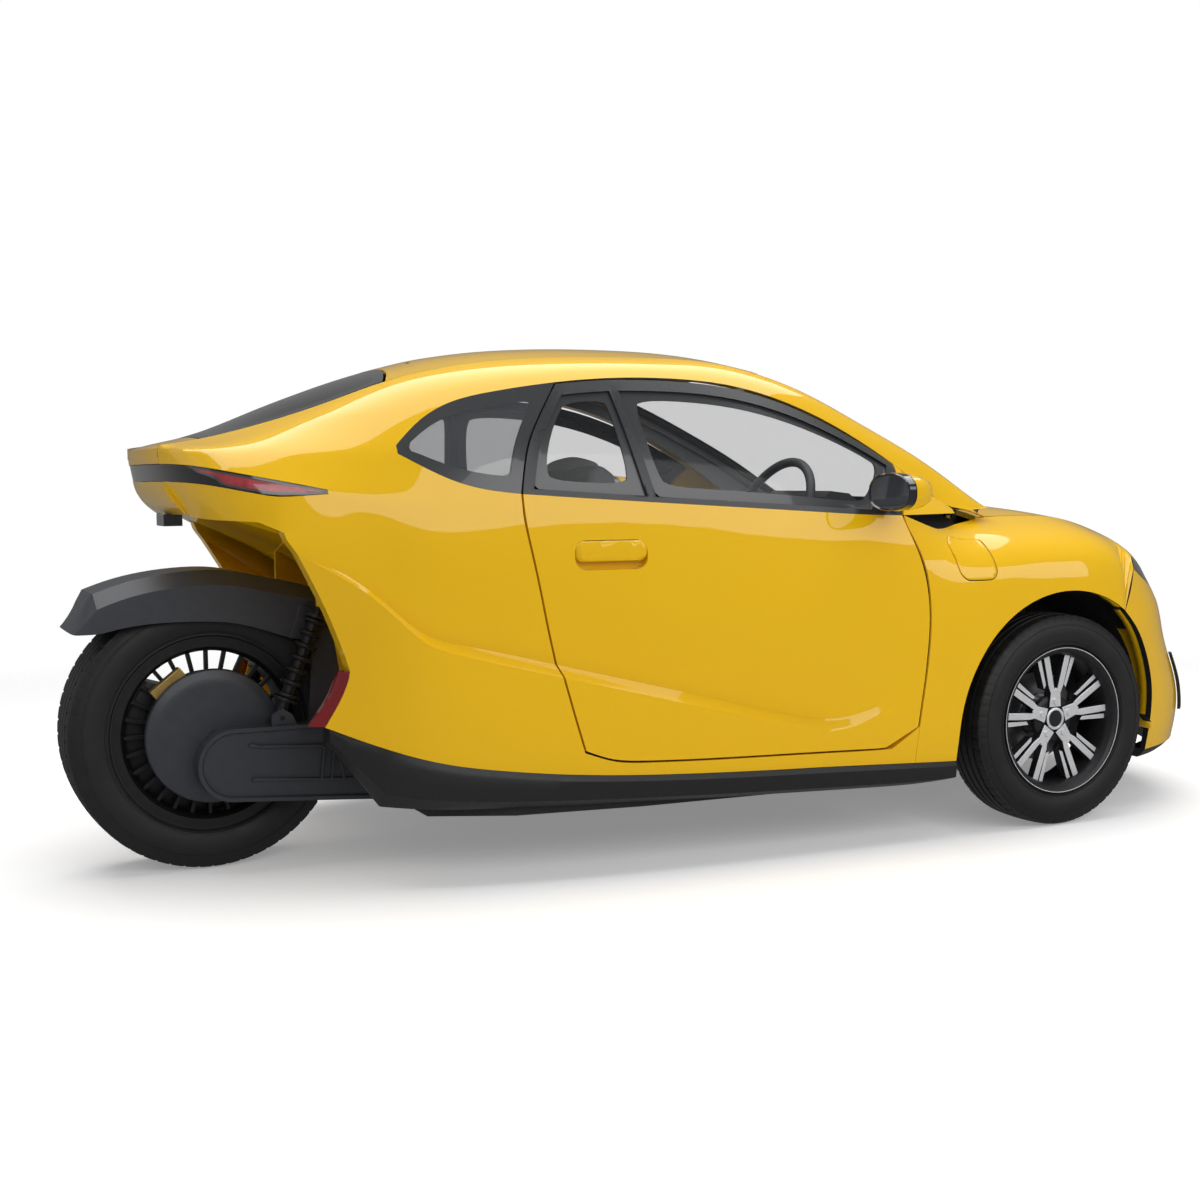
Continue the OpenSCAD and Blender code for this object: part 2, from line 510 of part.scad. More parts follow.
// The headlamps sit between the bumper and the bonnet, one at each corner.
lamp_c = [0, 0.12, 0.24, 0.36, 0.48, 0.6, 0.68];
function lamp_point(i, j, inset) =
    let (c = lamp_c[i], za = lamp_under(c) + 3.5*fit_gap, p = nose_point(c, za + 22),
         zb = max(lamp_top(p[0]) - 4*fit_gap, za + 6))
    nose_point(c, mix(za, zb, j/2), inset);
module headlamp() {
    n = len(lamp_c) - 1;
    outer = [for (i = [n:-1:0]) [for (j = [0:2]) lamp_point(i, j, 0)]];
    inner = [for (i = [n:-1:0]) [for (j = [0:2]) lamp_point(i, j, 34)]];
    panel(inner, outer, all_cells(outer));
}
module headlamps() color(black) {
    right() headlamp();
    left() headlamp();
}

cowl_rear = [2078, 84];
function bonnet_rear_x(a) = cowl_rear[0] - cowl_rear[1]*a*a;
function lead_x(y) =
    let (w = side_y(nose_x0, bonnet_level))
    nose_x0 + nose_l(bonnet_level)*pow(1 - pow(y/w, oval_p), 1/oval_p);
module bonnet() color(yellow) place() {
    g = across_grid(function (s, a) mix(bonnet_rear_x(a), lead_x(a*bonnet_half) - 12, s),
                    function (s, a, x) a*(bonnet_half - shut_gap), function (x, y) front_z(x, y), 10, 8);
    panel(g, [for (i = [0:10]) [for (p = g[i]) p - [0, 0, i == 10 ? panel_t : 3*panel_t]]], all_cells(g));
    for (s = [-1, 1]) lid_arm(bonnet_pin, s*bonnet_arm_y,
        [[-7, 0], [-8, -66], [14, -74], [62, -70], [96, -40], [104, -4], [78, -6], [72, -34], [56, -56], [12, -60], [7, 0]]);
}
// The bonnet turns on pins under the foot of the windscreen.
bonnet_pin = [1974, 822];
bonnet_arm_y = 380;

// Fenders: from the door seam over the arch to the lamp and the bumper.
flap = [[1735, 1862], [662, 770]];
arch_side_z = 487;
function arch_col(z, s) =
    z < arch_side_z ? front_arch_x(z, s) : front_arch_x(arch_side_z, s) + s*lookup(z, [[arch_side_z, 0], [650, -14], [800, -8]]);
fender_x = [1910, 1962, 2020, 2080, 2140, 2200, 2255, 2298, 2362, 2382, 2440, 2500, 2546];
function fender_col(i, z) =
    let (a = arch_col(z, -1), f = door_front_x(z), q = clamp((z - 520)/120))
    i == 0 ? f + 1.5*seam_gap : i == 1 ? mix(mix(f, a, 0.26), 1694, q) : i == 2 ? mix(mix(f, a, 0.5), flap[0][0], q)
    : i == 3 ? mix(mix(f, a, 0.75), 1778, q) : i == 4 ? a : i == 5 ? flap[0][1]
    : fender_x[i - 6];
function fender_top(x) = min(belt_line(x), front_z(x, lookup(x, [[1600, 668], [1700, 648], [1750, 625], [1850, 560], [1950, 520], [1990, bonnet_half]])));
function arch_top(x) = 280 + sqrt(max(sq(arch_r) - sq(x - 2100), 0));
function fender_row(j, x) =
    let (t = fender_top(x), s = x < 1824 ? arch_side_z : x < 2298 ? max(arch_top(x), arch_side_z)
             : x < 2382 ? lookup(x, [[2298, 562.5], [2362, 669.5], [2382, 701.5]]) : lamp_top(x) + 1.5)
    j == 0 ? sill_line(x) : j < 5 ? mix(sill_line(x), arch_side_z, j/5) : j == 5 ? s
    : let (a = x < 1900 ? flap[1][0] : mix(s, t, 0.42), b = x < 1900 ? flap[1][1] : mix(s, t, 0.72),
           c = clamp((x - 1840)/160), fa = mix(flap[1][0], mix(s, t, 0.42), c), fb = mix(flap[1][1], mix(s, t, 0.74), c))
      j == 6 ? mix(s, fa, 0.5) : j == 7 ? fa : j == 8 ? mix(fa, fb, 1/3) : j == 9 ? mix(fa, fb, 2/3)
      : j == 10 ? fb : j == 11 ? mix(fb, t, 0.5) : t;
function fender_keep(i, j, flap_cut) =
    (i < 4 || j > 4) && !(flap_cut && i > 1 && i < 5 && j > 6 && j < 10);
module fender(flap_cut) {
    outer = side_grid(function (i, z) fender_col(i, z), function (j, x) fender_row(j, x), 18, 12, false);
    inner = [for (c = outer) [for (j = [0:12]) c[j] - panel_t*(j < 11 ? [0, 1, 0] : j < 12 ? [0, 0.8, 0.7] : [0, 0, 1])]];
    panel(outer, inner, [for (i = [0:17]) [for (j = [0:11]) fender_keep(i, j, flap_cut)]]);
}
module front_fender_right() color(yellow) right() fender(true);
module front_fender_left() color(yellow) left() fender(false);

// The flap turns on an upright pin ahead of it, and bends round the fender's edge.
flap_x = 1880;
flap_in = 12.5;
flap_z = [694, 738];
flap_pin_r = 2.5;
flap_low = [side_y(flap_x, flap_z[0]) - flap_in, flap_z[0]];
flap_high = [side_y(flap_x, flap_z[1]) - flap_in, flap_z[1]];
module charge_flap() color(yellow) right() {
    g = shut_gap - 1;
    outer = side_grid(function (i, z) fender_col(i + 2, z) + (i == 0 ? g : i == 3 ? -g : 0),
                      function (j, x) fender_row(j + 7, x) + (j == 0 ? g : j == 3 ? -g : 0), 3, 3, false);
    panel(outer, inward(outer, function (i, j) panel_t), all_cells(outer));
    hinge_frame(flap_low, flap_high, flap_x, 0.5) slab(flap_arm_h) difference() {
        union() {
            circle(r = flap_pin_r + 2.5);
            polygon([[4, 0], [5, -27], [-30, -29], [-36, -22], [-36, 9], [-29, 9], [-28, -21], [1, -22], [-1, 0]]);
        }
        circle(r = flap_pin_r + pin_gap);
    }
}
flap_arm_h = 14;

// Well with the charging socket, behind the flap.
module charge_port() color(black) right() {
    d = panel_t + fit_gap;
    outer = side_grid(function (i, z) fender_col(i + 2, z), function (j, x) fender_row(j + 7, x), 4, 3, false);
    difference() {
        panel(inward(outer, function (i, j) d), inward(outer, function (i, j) d + 40), all_cells(outer));
        translate([1795*kx, 722*ky, 716*kz]) rotate([90, 0, 0]) cylinder(r = 30, h = 62);
        hinge_frame(flap_low, flap_high, flap_x, 0.5) translate([-45, -38, -flap_arm_h/2 - 6]) cube([57, 78, flap_arm_h + 12]);
    }
    hinge_frame(flap_low, flap_high, flap_x, 0.5) slab(flap_arm_h + 20) circle(r = flap_pin_r);
}

// ---- tail ----
function tail_point(y, z) = [tail_x(abs(y)/tail_w(z), z), y, z];
tail_n = 6;
function tail_y(k) = tail_half - 0.4 - (2*tail_half - 0.8)*k/tail_n;
module tail_deck() {
    z0 = lamp_high(-140) + fit_gap;
    deck = [for (k = [0:tail_n]) let (y = tail_y(k)*0.991) concat(
        [tail_point(y, z0), tail_point(y, 990), tail_point(y, 1003)],
        [for (x = [-95, -60, hatch_rear_x - shut_gap]) [x, y, top_z(x, y)]])];
    skin = [for (k = [0:tail_n]) let (o = deck[k])
        [o[0] + [16, 0, 0], o[1] + [18, 0, 0], o[2] + [20, 0, -14], o[3] - [0, 0, 16], o[4] - [0, 0, 16], o[5] - [0, 0, 16]]];
    panel([for (k = [tail_n:-1:0]) deck[k]], [for (k = [tail_n:-1:0]) skin[k]], all_cells(deck));
}
module tail_valance() {
    levels = [850, 868, 886, 906, lamp_low(-140) - fit_gap];
    outer = [for (k = [tail_n:-1:0]) [for (z = levels) tail_point(tail_y(k), z)]];
    inner = [for (c = outer) [for (j = [0:4]) c[j] + [j == 0 ? 10 : 18, 0, j == 0 ? 16 : j == 1 ? 8 : 0]]];
    panel(outer, inner, all_cells(outer));
}
module tail_panel() color(yellow) place() {
    tail_deck();
    tail_valance();
}

// Lamp band: one strip from tip to tip round the tail.
lamp_t = 20;
lamp_gap = 0.9;
function lamp_half() =
    [for (i = [0:6]) [for (j = [0:2])
        let (r = function (j, x) mix(lamp_low(x) + lamp_gap, lamp_high(x) - lamp_gap, j/2),
             p = meet(function (i, z) body_col(i, z), r, i, j, body_col(i, 920)))
        side_point(p[0], p[1])]];
function lamp_in(p, i, t) = let (a = i < 5 ? [0, 15, 35, 55, 75][i] : 90) p + [t*cos(a), -t*sin(a), 0];
module lamp_band() {
    half = lamp_half();
    back = [for (y = [-100, 0, 100]) [for (j = [0:2])
        tail_point(y, mix(lamp_low(-140) + lamp_gap, lamp_high(-140) - lamp_gap, j/2))]];
    outer = concat([for (i = [6:-1:0]) [for (p = half[i]) [p[0], -p[1], p[2]]]], back, half);
    skin = [for (i = [0:6]) [for (p = half[i]) lamp_in(p, i, lamp_t)]];
    inner = concat([for (i = [6:-1:0]) [for (p = skin[i]) [p[0], -p[1], p[2]]]],
                   [for (c = back) [for (p = c) p + [lamp_t, 0, 0]]], skin);
    panel(outer, inner, all_cells(outer));
}
// Red reflector on the rear edge of each body side.
module reflector() {
    // Its front edge follows the body side's rear edge, corner for corner
    edge = [for (j = [0:2]) meet(function (i, z) body_col(i, z), function (j, x) body_row(j, x), 5, j, 200)];
    line = [for (j = [0:4]) let (k = min(floor(j/2), 1), p = mix(edge[k], edge[k + 1], j/2 - k)) [p[0] - fit_gap, p[1] + (j == 0 ? 1 : 0)]];
    outer = [for (i = [0, 1]) [for (j = [0:4])
        let (x = line[j][0] - (1 - i)*mix(30, 18, j/4)) [x, side_y(x, line[j][1]), line[j][1]]]];
    panel(inward(outer, function (i, j) i == 0 ? 14 : 2), inward(outer, function (i, j) 30), all_cells(outer));
}
module rear_lamps() color(red) {
    place() lamp_band();
    right() reflector();
    left() reflector();
    // Housing of the plate lamp and the hatch release, under the valance
    translate([-origin_x, 0, 0]) translate([-84*kx, -45*ky, 822*kz]) cube([44*kx, 90*ky, (850 - 822)*kz - fit_gap]);
}

// Wall above and ahead of the rear wheel, with the upper mounts of the shocks.
wall_line = [[-26, 847], [12, 841], [100, 812], [180, 776], [262, 736], [330, 690], [378, 622], [400, 520], [408, 400], [408, 248.4]];
wall_half = [190, 330, 390, 425, 440, 450, 455, 460, 460, 460];
wall_t = 9;
shock_y = 166;
shock_top = [262, 640];
shock_low = [150, 366];
module rear_wheel_wall() color(yellow) place() {
    n = len(wall_line) - 1;
    outer = [for (k = [n:-1:0]) [for (s = [1, 0.5, 0, -0.5, -1]) [wall_line[k][0], s*wall_half[k], wall_line[k][1]]]];
    normal = [for (k = [0:n]) let (a = wall_line[max(k - 1, 0)], b = wall_line[min(k + 1, n)], d = (b - a)/norm(b - a)) [-d[1], d[0]]];
    inner = [for (k = [n:-1:0]) [for (p = outer[n - k]) p + wall_t*[normal[k][0], 0, normal[k][1]]]];
    panel(outer, inner, all_cells(outer));
    for (s = [-1, 1]) shock_lug(s);
}
module shock_lug(s) {
    t = 12;
    xz_slab(s*(shock_y + 25) - t/2, s*(shock_y + 25) + t/2)
        difference() {
            polygon([[shock_top[0] - 22, shock_top[1] - 12], [shock_top[0] + 10, shock_top[1] - 22],
                     [347, 668], [331, 695], [264, 741], [240, 752]]);
            translate(shock_top) circle(r = 6 + pin_gap);
        }
}
// A flat shape in x and z, laid between two widths.
module xz_slab(y0, y1) translate([0, y1, 0]) rotate([90, 0, 0]) linear_extrude(y1 - y0) children();

// ---- windows of the quarter, and the black parts ahead of the doors ----
module quarter_window() {
    outer = side_grid(function (i, z) body_col(i + 8, z) + (i == 0 ? fit_gap : i == 5 ? -fit_gap : 0),
                      function (j, x) body_row(j + 11, x) + (j == 0 ? fit_gap : j == 2 ? -fit_gap : 0), 5, 2);
    panel(outer, inward(outer, function (i, j) glass_t + 4), all_cells(outer));
}
module quarter_windows() color(glass) {
    right() quarter_window();
    left() quarter_window();
}
module fixed_corner() {
    outer = side_grid(function (i, z) mix(door_front_x(z) + 1, 1812, i/3),
                      function (j, x) mix(belt_line(x) + fit_gap, window_top(x) - fit_gap, j/2), 3, 2);
    panel(outer, inward(outer, function (i, j) frame_t), all_cells(outer));
}
cowl_t = 14;
module cowl_trim() color(black) {
    right() fixed_corner();
    left() fixed_corner();
    place() {
        g = across_grid(function (s, a) mix(screen_foot_x(a) + fit_gap, bonnet_rear_x(a) - shut_gap, s),
                        function (s, a, x) a*(bonnet_half - 14), function (x, y) min(front_z(x, y), 836) - 2, 1, 8);
        panel(g, down(g, cowl_t), all_cells(g));
    }
}

// ---- sills ----
sill_low = [[205, 330], [300, 188], [416, 178], [894, 167], [1721, 139], [1752, 146]];
module sill() {
    f = [0, 0.25, 0.82, 1];
    out = [-38, 4, 9, 1];
    xs = [196, 235, 300, 360, 440, 540, 660, 780, 900, 1050, 1200, 1350, 1500, 1650, 1752];
    outer = [for (x = xs) [for (j = [0:3])
        let (z1 = sill_line(x) - 0.9, z0 = min(lookup(x, sill_low), z1 - 12)) [x, side_y(x, z1 + 1) + out[j], mix(z0, z1, f[j])]]];
    panel(outer, [for (c = outer) [for (p = c) [p[0], c[3][1] - side_t - 2, p[2]]]], all_cells(outer));
}
module sills() color(black) {
    right() sill();
    left() sill();
}

// ---- structure ----
floor_z = [152, 182];
floor_half = [[416, 455], [600, 545], [900, 592], [1300, 618], [1740, 632], [1740, 364], [2500, 364]];
module floor_plate(h) linear_extrude(h) polygon(concat(
    [for (p = floor_half) [p[0]*kx, p[1]*ky]], [for (i = [len(floor_half) - 1:-1:0]) [floor_half[i][0]*kx, -floor_half[i][1]*ky]]));
arm_pivot = [372, 214];
pivot_r = 24;
module floor_pan() color(grey) place() {
    translate([0, 0, floor_z[0]*kz]) floor_plate((floor_z[1] - floor_z[0])*kz);
    // Bulkhead behind the driver and luggage shelf
    translate([436*kx, -450*ky, floor_z[1]*kz - e]) cube([16, 900*ky, (858 - floor_z[1])*kz]);
    translate([70*kx, -330*ky, 858*kz - e]) cube([382*kx, 660*ky, 8]);
    // Pillars that carry the door hinges
    for (s = [0, 1]) mirror([0, s, 0]) {
        translate([(hinge_x + 7)*kx, 600*ky, floor_z[1]*kz - e]) cube([21, 30, (hinge_z[1] + 36 - floor_z[1])*kz]);
        door_hinges() hinge_seat();
    }
    // Lugs that carry the pivot of the swing arm
    for (s = [-1, 1]) xz_slab(s*60 - 10, s*60 + 10) difference() {
        translate([(arm_pivot[0] - 34)*kx, floor_z[0]*kz]) square([(436 - arm_pivot[0] + 34)*kx, 96]);
        translate([arm_pivot[0]*kx, arm_pivot[1]*kz]) circle(r = pivot_r + pin_gap);
    }
}
module battery_pack() color(grey) place()
    translate([480*kx, -260*ky, (floor_z[1] + fit_gap)*kz]) cube([560*kx, 520*ky, 150]);

wall_in = 366;
strut_y = 515;
strut_top_z = 690;
module front_subframe() color(grey) place() {
    for (s = [-1, 1]) {
        xz_slab(s > 0 ? (wall_in - 8)*ky : -wall_in*ky, s > 0 ? wall_in*ky : -(wall_in - 8)*ky)
            polygon([for (p = [[1746, 182.4], [2490, 182.4], [2490, 520], [2380, 640], [2140, 735], [1990, 750], [1944, 750], [1944, 556], [1746, 540]]) [p[0]*kx, p[1]*kz]]);
        // Turret that carries the top of the strut
        translate([front_x - 60, s > 0 ? (wall_in - 2)*ky : -(strut_y + 45)*ky, strut_top_z*kz])
            cube([120, (strut_y + 45 - wall_in + 2)*ky, 12]);
        translate([front_x, s*strut_y*ky, strut_top_z*kz - 10]) cylinder(r = 34, h = 12);
    }
    // Cross walls of the front bay
    translate([1990*kx, -wall_in*ky, 184*kz]) cube([8, 2*wall_in*ky, 550*kz]);
    translate([1990*kx, -wall_in*ky - 40, 700*kz]) cube([8, 2*wall_in*ky + 80, 34*kz]);
    for (s = [-1, 1]) lid_seat(bonnet_pin, s*bonnet_arm_y, [[-7, 0], [4, -92], [24, -92], [24, -70], [7, 0]]);
    translate([2482*kx, -wall_in*ky, 184*kz]) cube([8, 2*wall_in*ky, 330*kz]);
    translate([1990*kx, -wall_in*ky, 420*kz]) cube([500*kx, 2*wall_in*ky, 8]);
    // Bumper beam
    translate([2490*kx, -330*ky, 300*kz]) cube([120*kx, 660*ky, 90*kz]);
}

// ---- inside ----
module driver_seat() color(fabric) place() translate([1130*kx, 0, 0]) {
    w = 460;
    xz_slab(-w/2, w/2)
        polygon([[-30, 250], [440, 262], [470, 330], [450, 385], [110, 340], [70, 372], [-78, 800],
                 [-108, 935], [-150, 962], [-186, 940], [-176, 800], [-50, 330]]);
    // Runners under the seat
    for (s = [-1, 1]) translate([-10, s*150 - 20, floor_z[1]*kz + fit_gap]) cube([420, 40, 250 - floor_z[1]*kz - fit_gap + 1]);
}
module dashboard() color(black) place() {
    xz_slab(-576*ky, 576*ky)
        polygon([for (p = [[1735, 600], [1930, 570], [1936, 752], [1930, 772], [1700, 772], [1708, 690]]) [p[0]*kx, p[1]*kz]]);
    xz_slab(-452*ky, 452*ky)
        polygon([for (p = [[1702, 768], [1931, 768], [1924, 806], [1840, 832], [1740, 828], [1700, 776]]) [p[0]*kx, p[1]*kz]]);
    // Cross beam between the hinge pillars
    xz_slab(-(600*ky - fit_gap), 600*ky - fit_gap) translate([1722*kx, 602*kz]) square([16, 36]);
    xz_slab(-150*ky, 150*ky)
        polygon([for (p = [[1722, 812], [1850, 836], [1800, 876], [1735, 884], [1716, 866]]) [p[0]*kx, p[1]*kz]]);
}
column_at = [1628, 806];
column_tilt = 64;
wheel_rim_r = 178;
module steering_wheel() color(black) place()
    translate([column_at[0]*kx, 0, column_at[1]*kz]) rotate([0, -column_tilt, 0]) {
        rotate_extrude() translate([wheel_rim_r, 0]) circle(r = 13, $fn = 24);
        translate([0, 0, -30]) cylinder(r = 52, h = 34);
        for (a = [90, 180, 270]) rotate([0, 0, a]) translate([0, -16, -16]) cube([wheel_rim_r - 4, 32, 10]);
        translate([0, 0, -77.6]) cylinder(r = 20, h = 54);
    }

// ---- front wheels and their suspension ----
// Wheel pieces are drawn at the wheel's centre with the axle along Y; +Y is the outer face.
rim_depth = front_tyre_w - 12;
module turned(profile_fn = 96) rotate([-90, 0, 0]) rotate_extrude($fn = profile_fn) children();
module tyre(r, w, rim, half) {
    bead = rim - 14 + fit_gap;
    turned() polygon([[bead, -half + 9], [rim + 3, -half + 8], [rim + 8, -w/2 + 4], [mix(rim, r, 0.5), -w/2],
        [r - 16, -w/2 + 4], [r - 4, -w/2 + 17], [r, -w/2 + 34], [r, w/2 - 34], [r - 4, w/2 - 17],
        [r - 16, w/2 - 4], [mix(rim, r, 0.5), w/2], [rim + 8, w/2 - 4], [rim + 3, half - 8], [bead, half - 9]]);
}
module barrel(rim, half, wall) {
    seat = rim - 14;
    turned() polygon([[rim, -half], [rim, -half + 7], [seat, -half + 8], [seat, half - 8], [rim, half - 7], [rim, half],
        [seat - wall + 2, half], [seat - wall - 6, half - 16], [seat - wall - 10, -half + 18], [seat - wall, -half]]);
}
spoke_out = 14;
disc_r = 118;
disc_y = -38;
module front_spoke(n = 5) {
    r1 = front_rim_r - 20;
    for (k = [0:n - 1]) rotate([0, 90 + k*360/n, 0]) xz_slab(spoke_out, spoke_out + 26) {
        polygon([[30, -15], [86, -11], [86, 11], [30, 15]]);
        for (s = [-1, 1]) polygon([[70, -s*4], [r1, s*44], [r1, s*64], [92, s*26], [70, s*11]]);
    }
}
module front_rim() {
    half = rim_depth/2;
    difference() {
        union() {
            barrel(front_rim_r, half, 5);
            intersection() {
                front_spoke();
                rotate([90, 0, 0]) cylinder(r = front_rim_r - 16, h = 200, center = true);
            }
            rotate([-90, 0, 0]) translate([0, 0, spoke_out - 4]) cylinder(r = 46, h = 32);
            rotate([-90, 0, 0]) translate([0, 0, disc_y]) cylinder(r = 62, h = spoke_out - 4 - disc_y + e);
            rotate([-90, 0, 0]) translate([0, 0, disc_y - 6]) cylinder(r = disc_r, h = 12);
        }
        rotate([-90, 0, 0]) translate([0, 0, disc_y - 40]) cylinder(r = stub_r + pin_gap, h = 60 - disc_y);
    }
}
module at_front_wheel() translate([front_x, front_y, front_tyre_r]) children();
module front_rim_right() color(silver) right() at_front_wheel() front_rim();
module front_rim_left() color(silver) left() at_front_wheel() front_rim();
module front_tyre_one() tyre(front_tyre_r, front_tyre_w, front_rim_r, rim_depth/2);
module front_tyre_right() color(black) right() at_front_wheel() front_tyre_one();
module front_tyre_left() color(black) left() at_front_wheel() front_tyre_one();

// Knuckle: upright on the strut's line, stub axle, and the brake caliper on its bracket.
strut_r = 20;
ball_z = 190;
knuckle_top = 560;
stub_end = 6;
module knuckle() {
    ya = strut_y*ky;
    translate([front_x, ya, ball_z]) cylinder(r = strut_r, h = knuckle_top - ball_z);
    difference() {
        translate([front_x - 34, ya - 10, front_tyre_r - 62]) cube([68, front_y + disc_y - 14 - ya + 10, 124]);
        translate([front_x - 46, ya + 26, front_tyre_r - 70]) cube([22, 60, 140]);
    }
    translate([front_x, ya + 40, front_tyre_r]) rotate([-90, 0, 0]) cylinder(r = stub_r, h = front_y + stub_end - ya - 40);
    // Caliper astride the disc, behind the axle
    translate([front_x, front_y, front_tyre_r]) rotate([0, -150, 0]) difference() {
        translate([78, disc_y - 26, -38]) cube([62, 50, 76]);
        translate([60, disc_y - 9, -60]) cube([disc_r - 60 + 4, 18, 120]);
    }
    translate([front_x, front_y, front_tyre_r]) rotate([0, -150, 0])
        translate([20, disc_y - 25, -17]) cube([66, 9, 34]);
    // Steering arm
    translate([front_x - 118, ya - 12, 236]) cube([120, 24, 16]);
}
module knuckle_right() color(grey) right() knuckle();
module knuckle_left() color(grey) left() knuckle();

// Lower arms, and the springs and rods above the tyres.
module suspension_side() {
    ya = strut_y*ky;
    translate([0, 0, ball_z - fit_gap - 18]) linear_extrude(18) difference() {
        polygon([[front_x - 150, wall_in*ky + fit_gap], [front_x - 96, wall_in*ky + fit_gap], [front_x - 22, ya - 44],
                 [front_x + 22, ya - 44], [front_x + 96, wall_in*ky + fit_gap], [front_x + 150, wall_in*ky + fit_gap],
                 [front_x + 26, ya + 18], [front_x, ya + 24], [front_x - 26, ya + 18]]);
        translate([front_x, ya - 6]) circle(r = 8);
    }
    translate([front_x, ya, knuckle_top + fit_gap]) cylinder(r = 8, h = strut_top_z*kz - 10 - knuckle_top - 2*fit_gap);
    translate([front_x, ya, knuckle_top + fit_gap]) cylinder(r = 26, h = 8);
    // Coil spring: stacked turns on one core
    turns = 4;
    pitch = (strut_top_z*kz - 10 - knuckle_top - 24)/turns;
    for (k = [0:turns]) translate([front_x, ya, knuckle_top + 12 + k*pitch]) rotate_extrude($fn = 48) translate([30, 0]) circle(r = 6, $fn = 16);
    translate([front_x, ya, knuckle_top + fit_gap + 7]) cylinder(r = 25, h = strut_top_z*kz - 10 - knuckle_top - 2*fit_gap - 8);
}
module front_suspension() color(black) {
    right() suspension_side();
    left() suspension_side();
}

// ---- black trim of the nose ----
module nose_strip(c0, c1, z0, z1, out, n) {
    // A flat strip laid on the bumper between two columns and two heights
    levels = [z0, bumper_z[2], bumper_z[3], bumper_z[4], z1];
    outer = [for (i = [n:-1:0]) [for (z = levels) nose_point(mix(c0, c1, i/n), z, -out)]];
    inner = [for (i = [n:-1:0]) [for (z = levels) nose_point(mix(c0, c1, i/n), z, -2*fit_gap)]];
    panel(inner, outer, all_cells(outer));
}
// Lower lip, wrapped under the bumper from arch to arch
lip_c = [0, 0.1, 0.25, 0.4, 0.6, 0.8, 1];
lip_h = 26;
function lip_ring(z, inset) = concat(
    [for (c = lip_c) let (p = nose_point(c, bumper_low, inset)) [p[0], p[1], z]],
    [for (k = [5:-1:0]) let (p = nose_point(lip_c[k], bumper_low, inset)) [p[0], -p[1], z]]);
module lower_lip() {
    a = lip_ring(bumper_low - fit_gap, 0);
    b = lip_ring(bumper_low - lip_h, lip_h);
    c = lip_ring(bumper_low - fit_gap, 60);
    d = lip_ring(bumper_low - lip_h, 62);
    outer = [for (k = [0:12]) [b[k], mix(a[k], b[k], 0.4) - [0, 0, 3], a[k]]];
    inner = [for (k = [0:12]) [d[k], mix(c[k], d[k], 0.4), c[k]]];
    panel(outer, inner, all_cells(outer));
}
module bumper_trim() color(black) {
    right() nose_strip(0.30, 0.36, 250, 415, 9, 2);
    left() nose_strip(0.30, 0.36, 250, 415, 9, 2);
    place() lower_lip();
}

// ---- rear wheel, arm and cover ----
rear_half = rear_tyre_w/2 - 12;
vane_r = [150, rear_rim_r - 22];
vanes = 28;
module rear_rim() color(black) place() translate([0, 0, rear_tyre_r]) {
    difference() {
        union() {
            barrel(rear_rim_r, rear_half, 6);
            rotate([90, 0, 0]) translate([0, 0, rear_half - 34]) cylinder(r = vane_r[0], h = 16);
            rotate([90, 0, 0]) translate([0, 0, -rear_half + 20]) cylinder(r = 48, h = 2*rear_half - 14);
            for (k = [0:vanes - 1]) rotate([0, k*360/vanes, 0])
                translate([vane_r[0] - 6, -rear_half + 18.5, -4.5]) cube([vane_r[1] - vane_r[0] + 11, 15, 9]);
            rotate([90, 0, 0]) translate([0, 0, rear_half + 14]) cylinder(r = 138, h = 6);
            rotate([90, 0, 0]) translate([0, 0, rear_half - 20]) cylinder(r = 60, h = 38);
        }
        rotate([90, 0, 0]) cylinder(r = rear_axle_r + pin_gap, h = 300, center = true);
    }
}
module rear_tyre() color(black) place() translate([0, 0, rear_tyre_r])
    tyre(rear_tyre_r, rear_tyre_w, rear_rim_r, rear_half);

cover_y = [-rear_half - 36, -rear_half - 58];
arm_out = cover_y[1] - fit_gap;
arm_end = [34, 264];
left_arm_y = rear_tyre_w/2 + wheel_gap + 12;
module rear_caliper() color([0.72, 0.58, 0.30]) place() translate([0, 0, rear_tyre_r]) rotate([0, -128, 0])
    difference() {
        translate([104, cover_y[0] + fit_gap, -44]) cube([72, 28.6, 88]);
        translate([80, -rear_half - 23, -80]) cube([64, 12, 160]);
    }
module drive_cover() color(grey) place() translate([0, 0, rear_tyre_r]) difference() {
    turned() polygon([[0, cover_y[0] - 8], [drive_cover_r - 14, cover_y[0] - 8], [drive_cover_r - 4, cover_y[0]], [drive_cover_r, cover_y[0] - 3],
        [drive_cover_r - 3, cover_y[0] - 12], [drive_cover_r - 24, cover_y[1] + 3], [60, cover_y[1]], [0, cover_y[1]]]);
    rotate([90, 0, 0]) cylinder(r = rear_axle_r + pin_gap, h = 300);
}
module arm_outline() {
    r = arm_h/2;
    circle_at = [arm_end[0], arm_end[1]];
    translate(circle_at) circle(r = r);
    polygon([[arm_end[0], arm_end[1] + r], [arm_end[0], arm_end[1] - r], [300, 158], [400, 150], [400, 236], [330, 330], [270, 348]]);
}
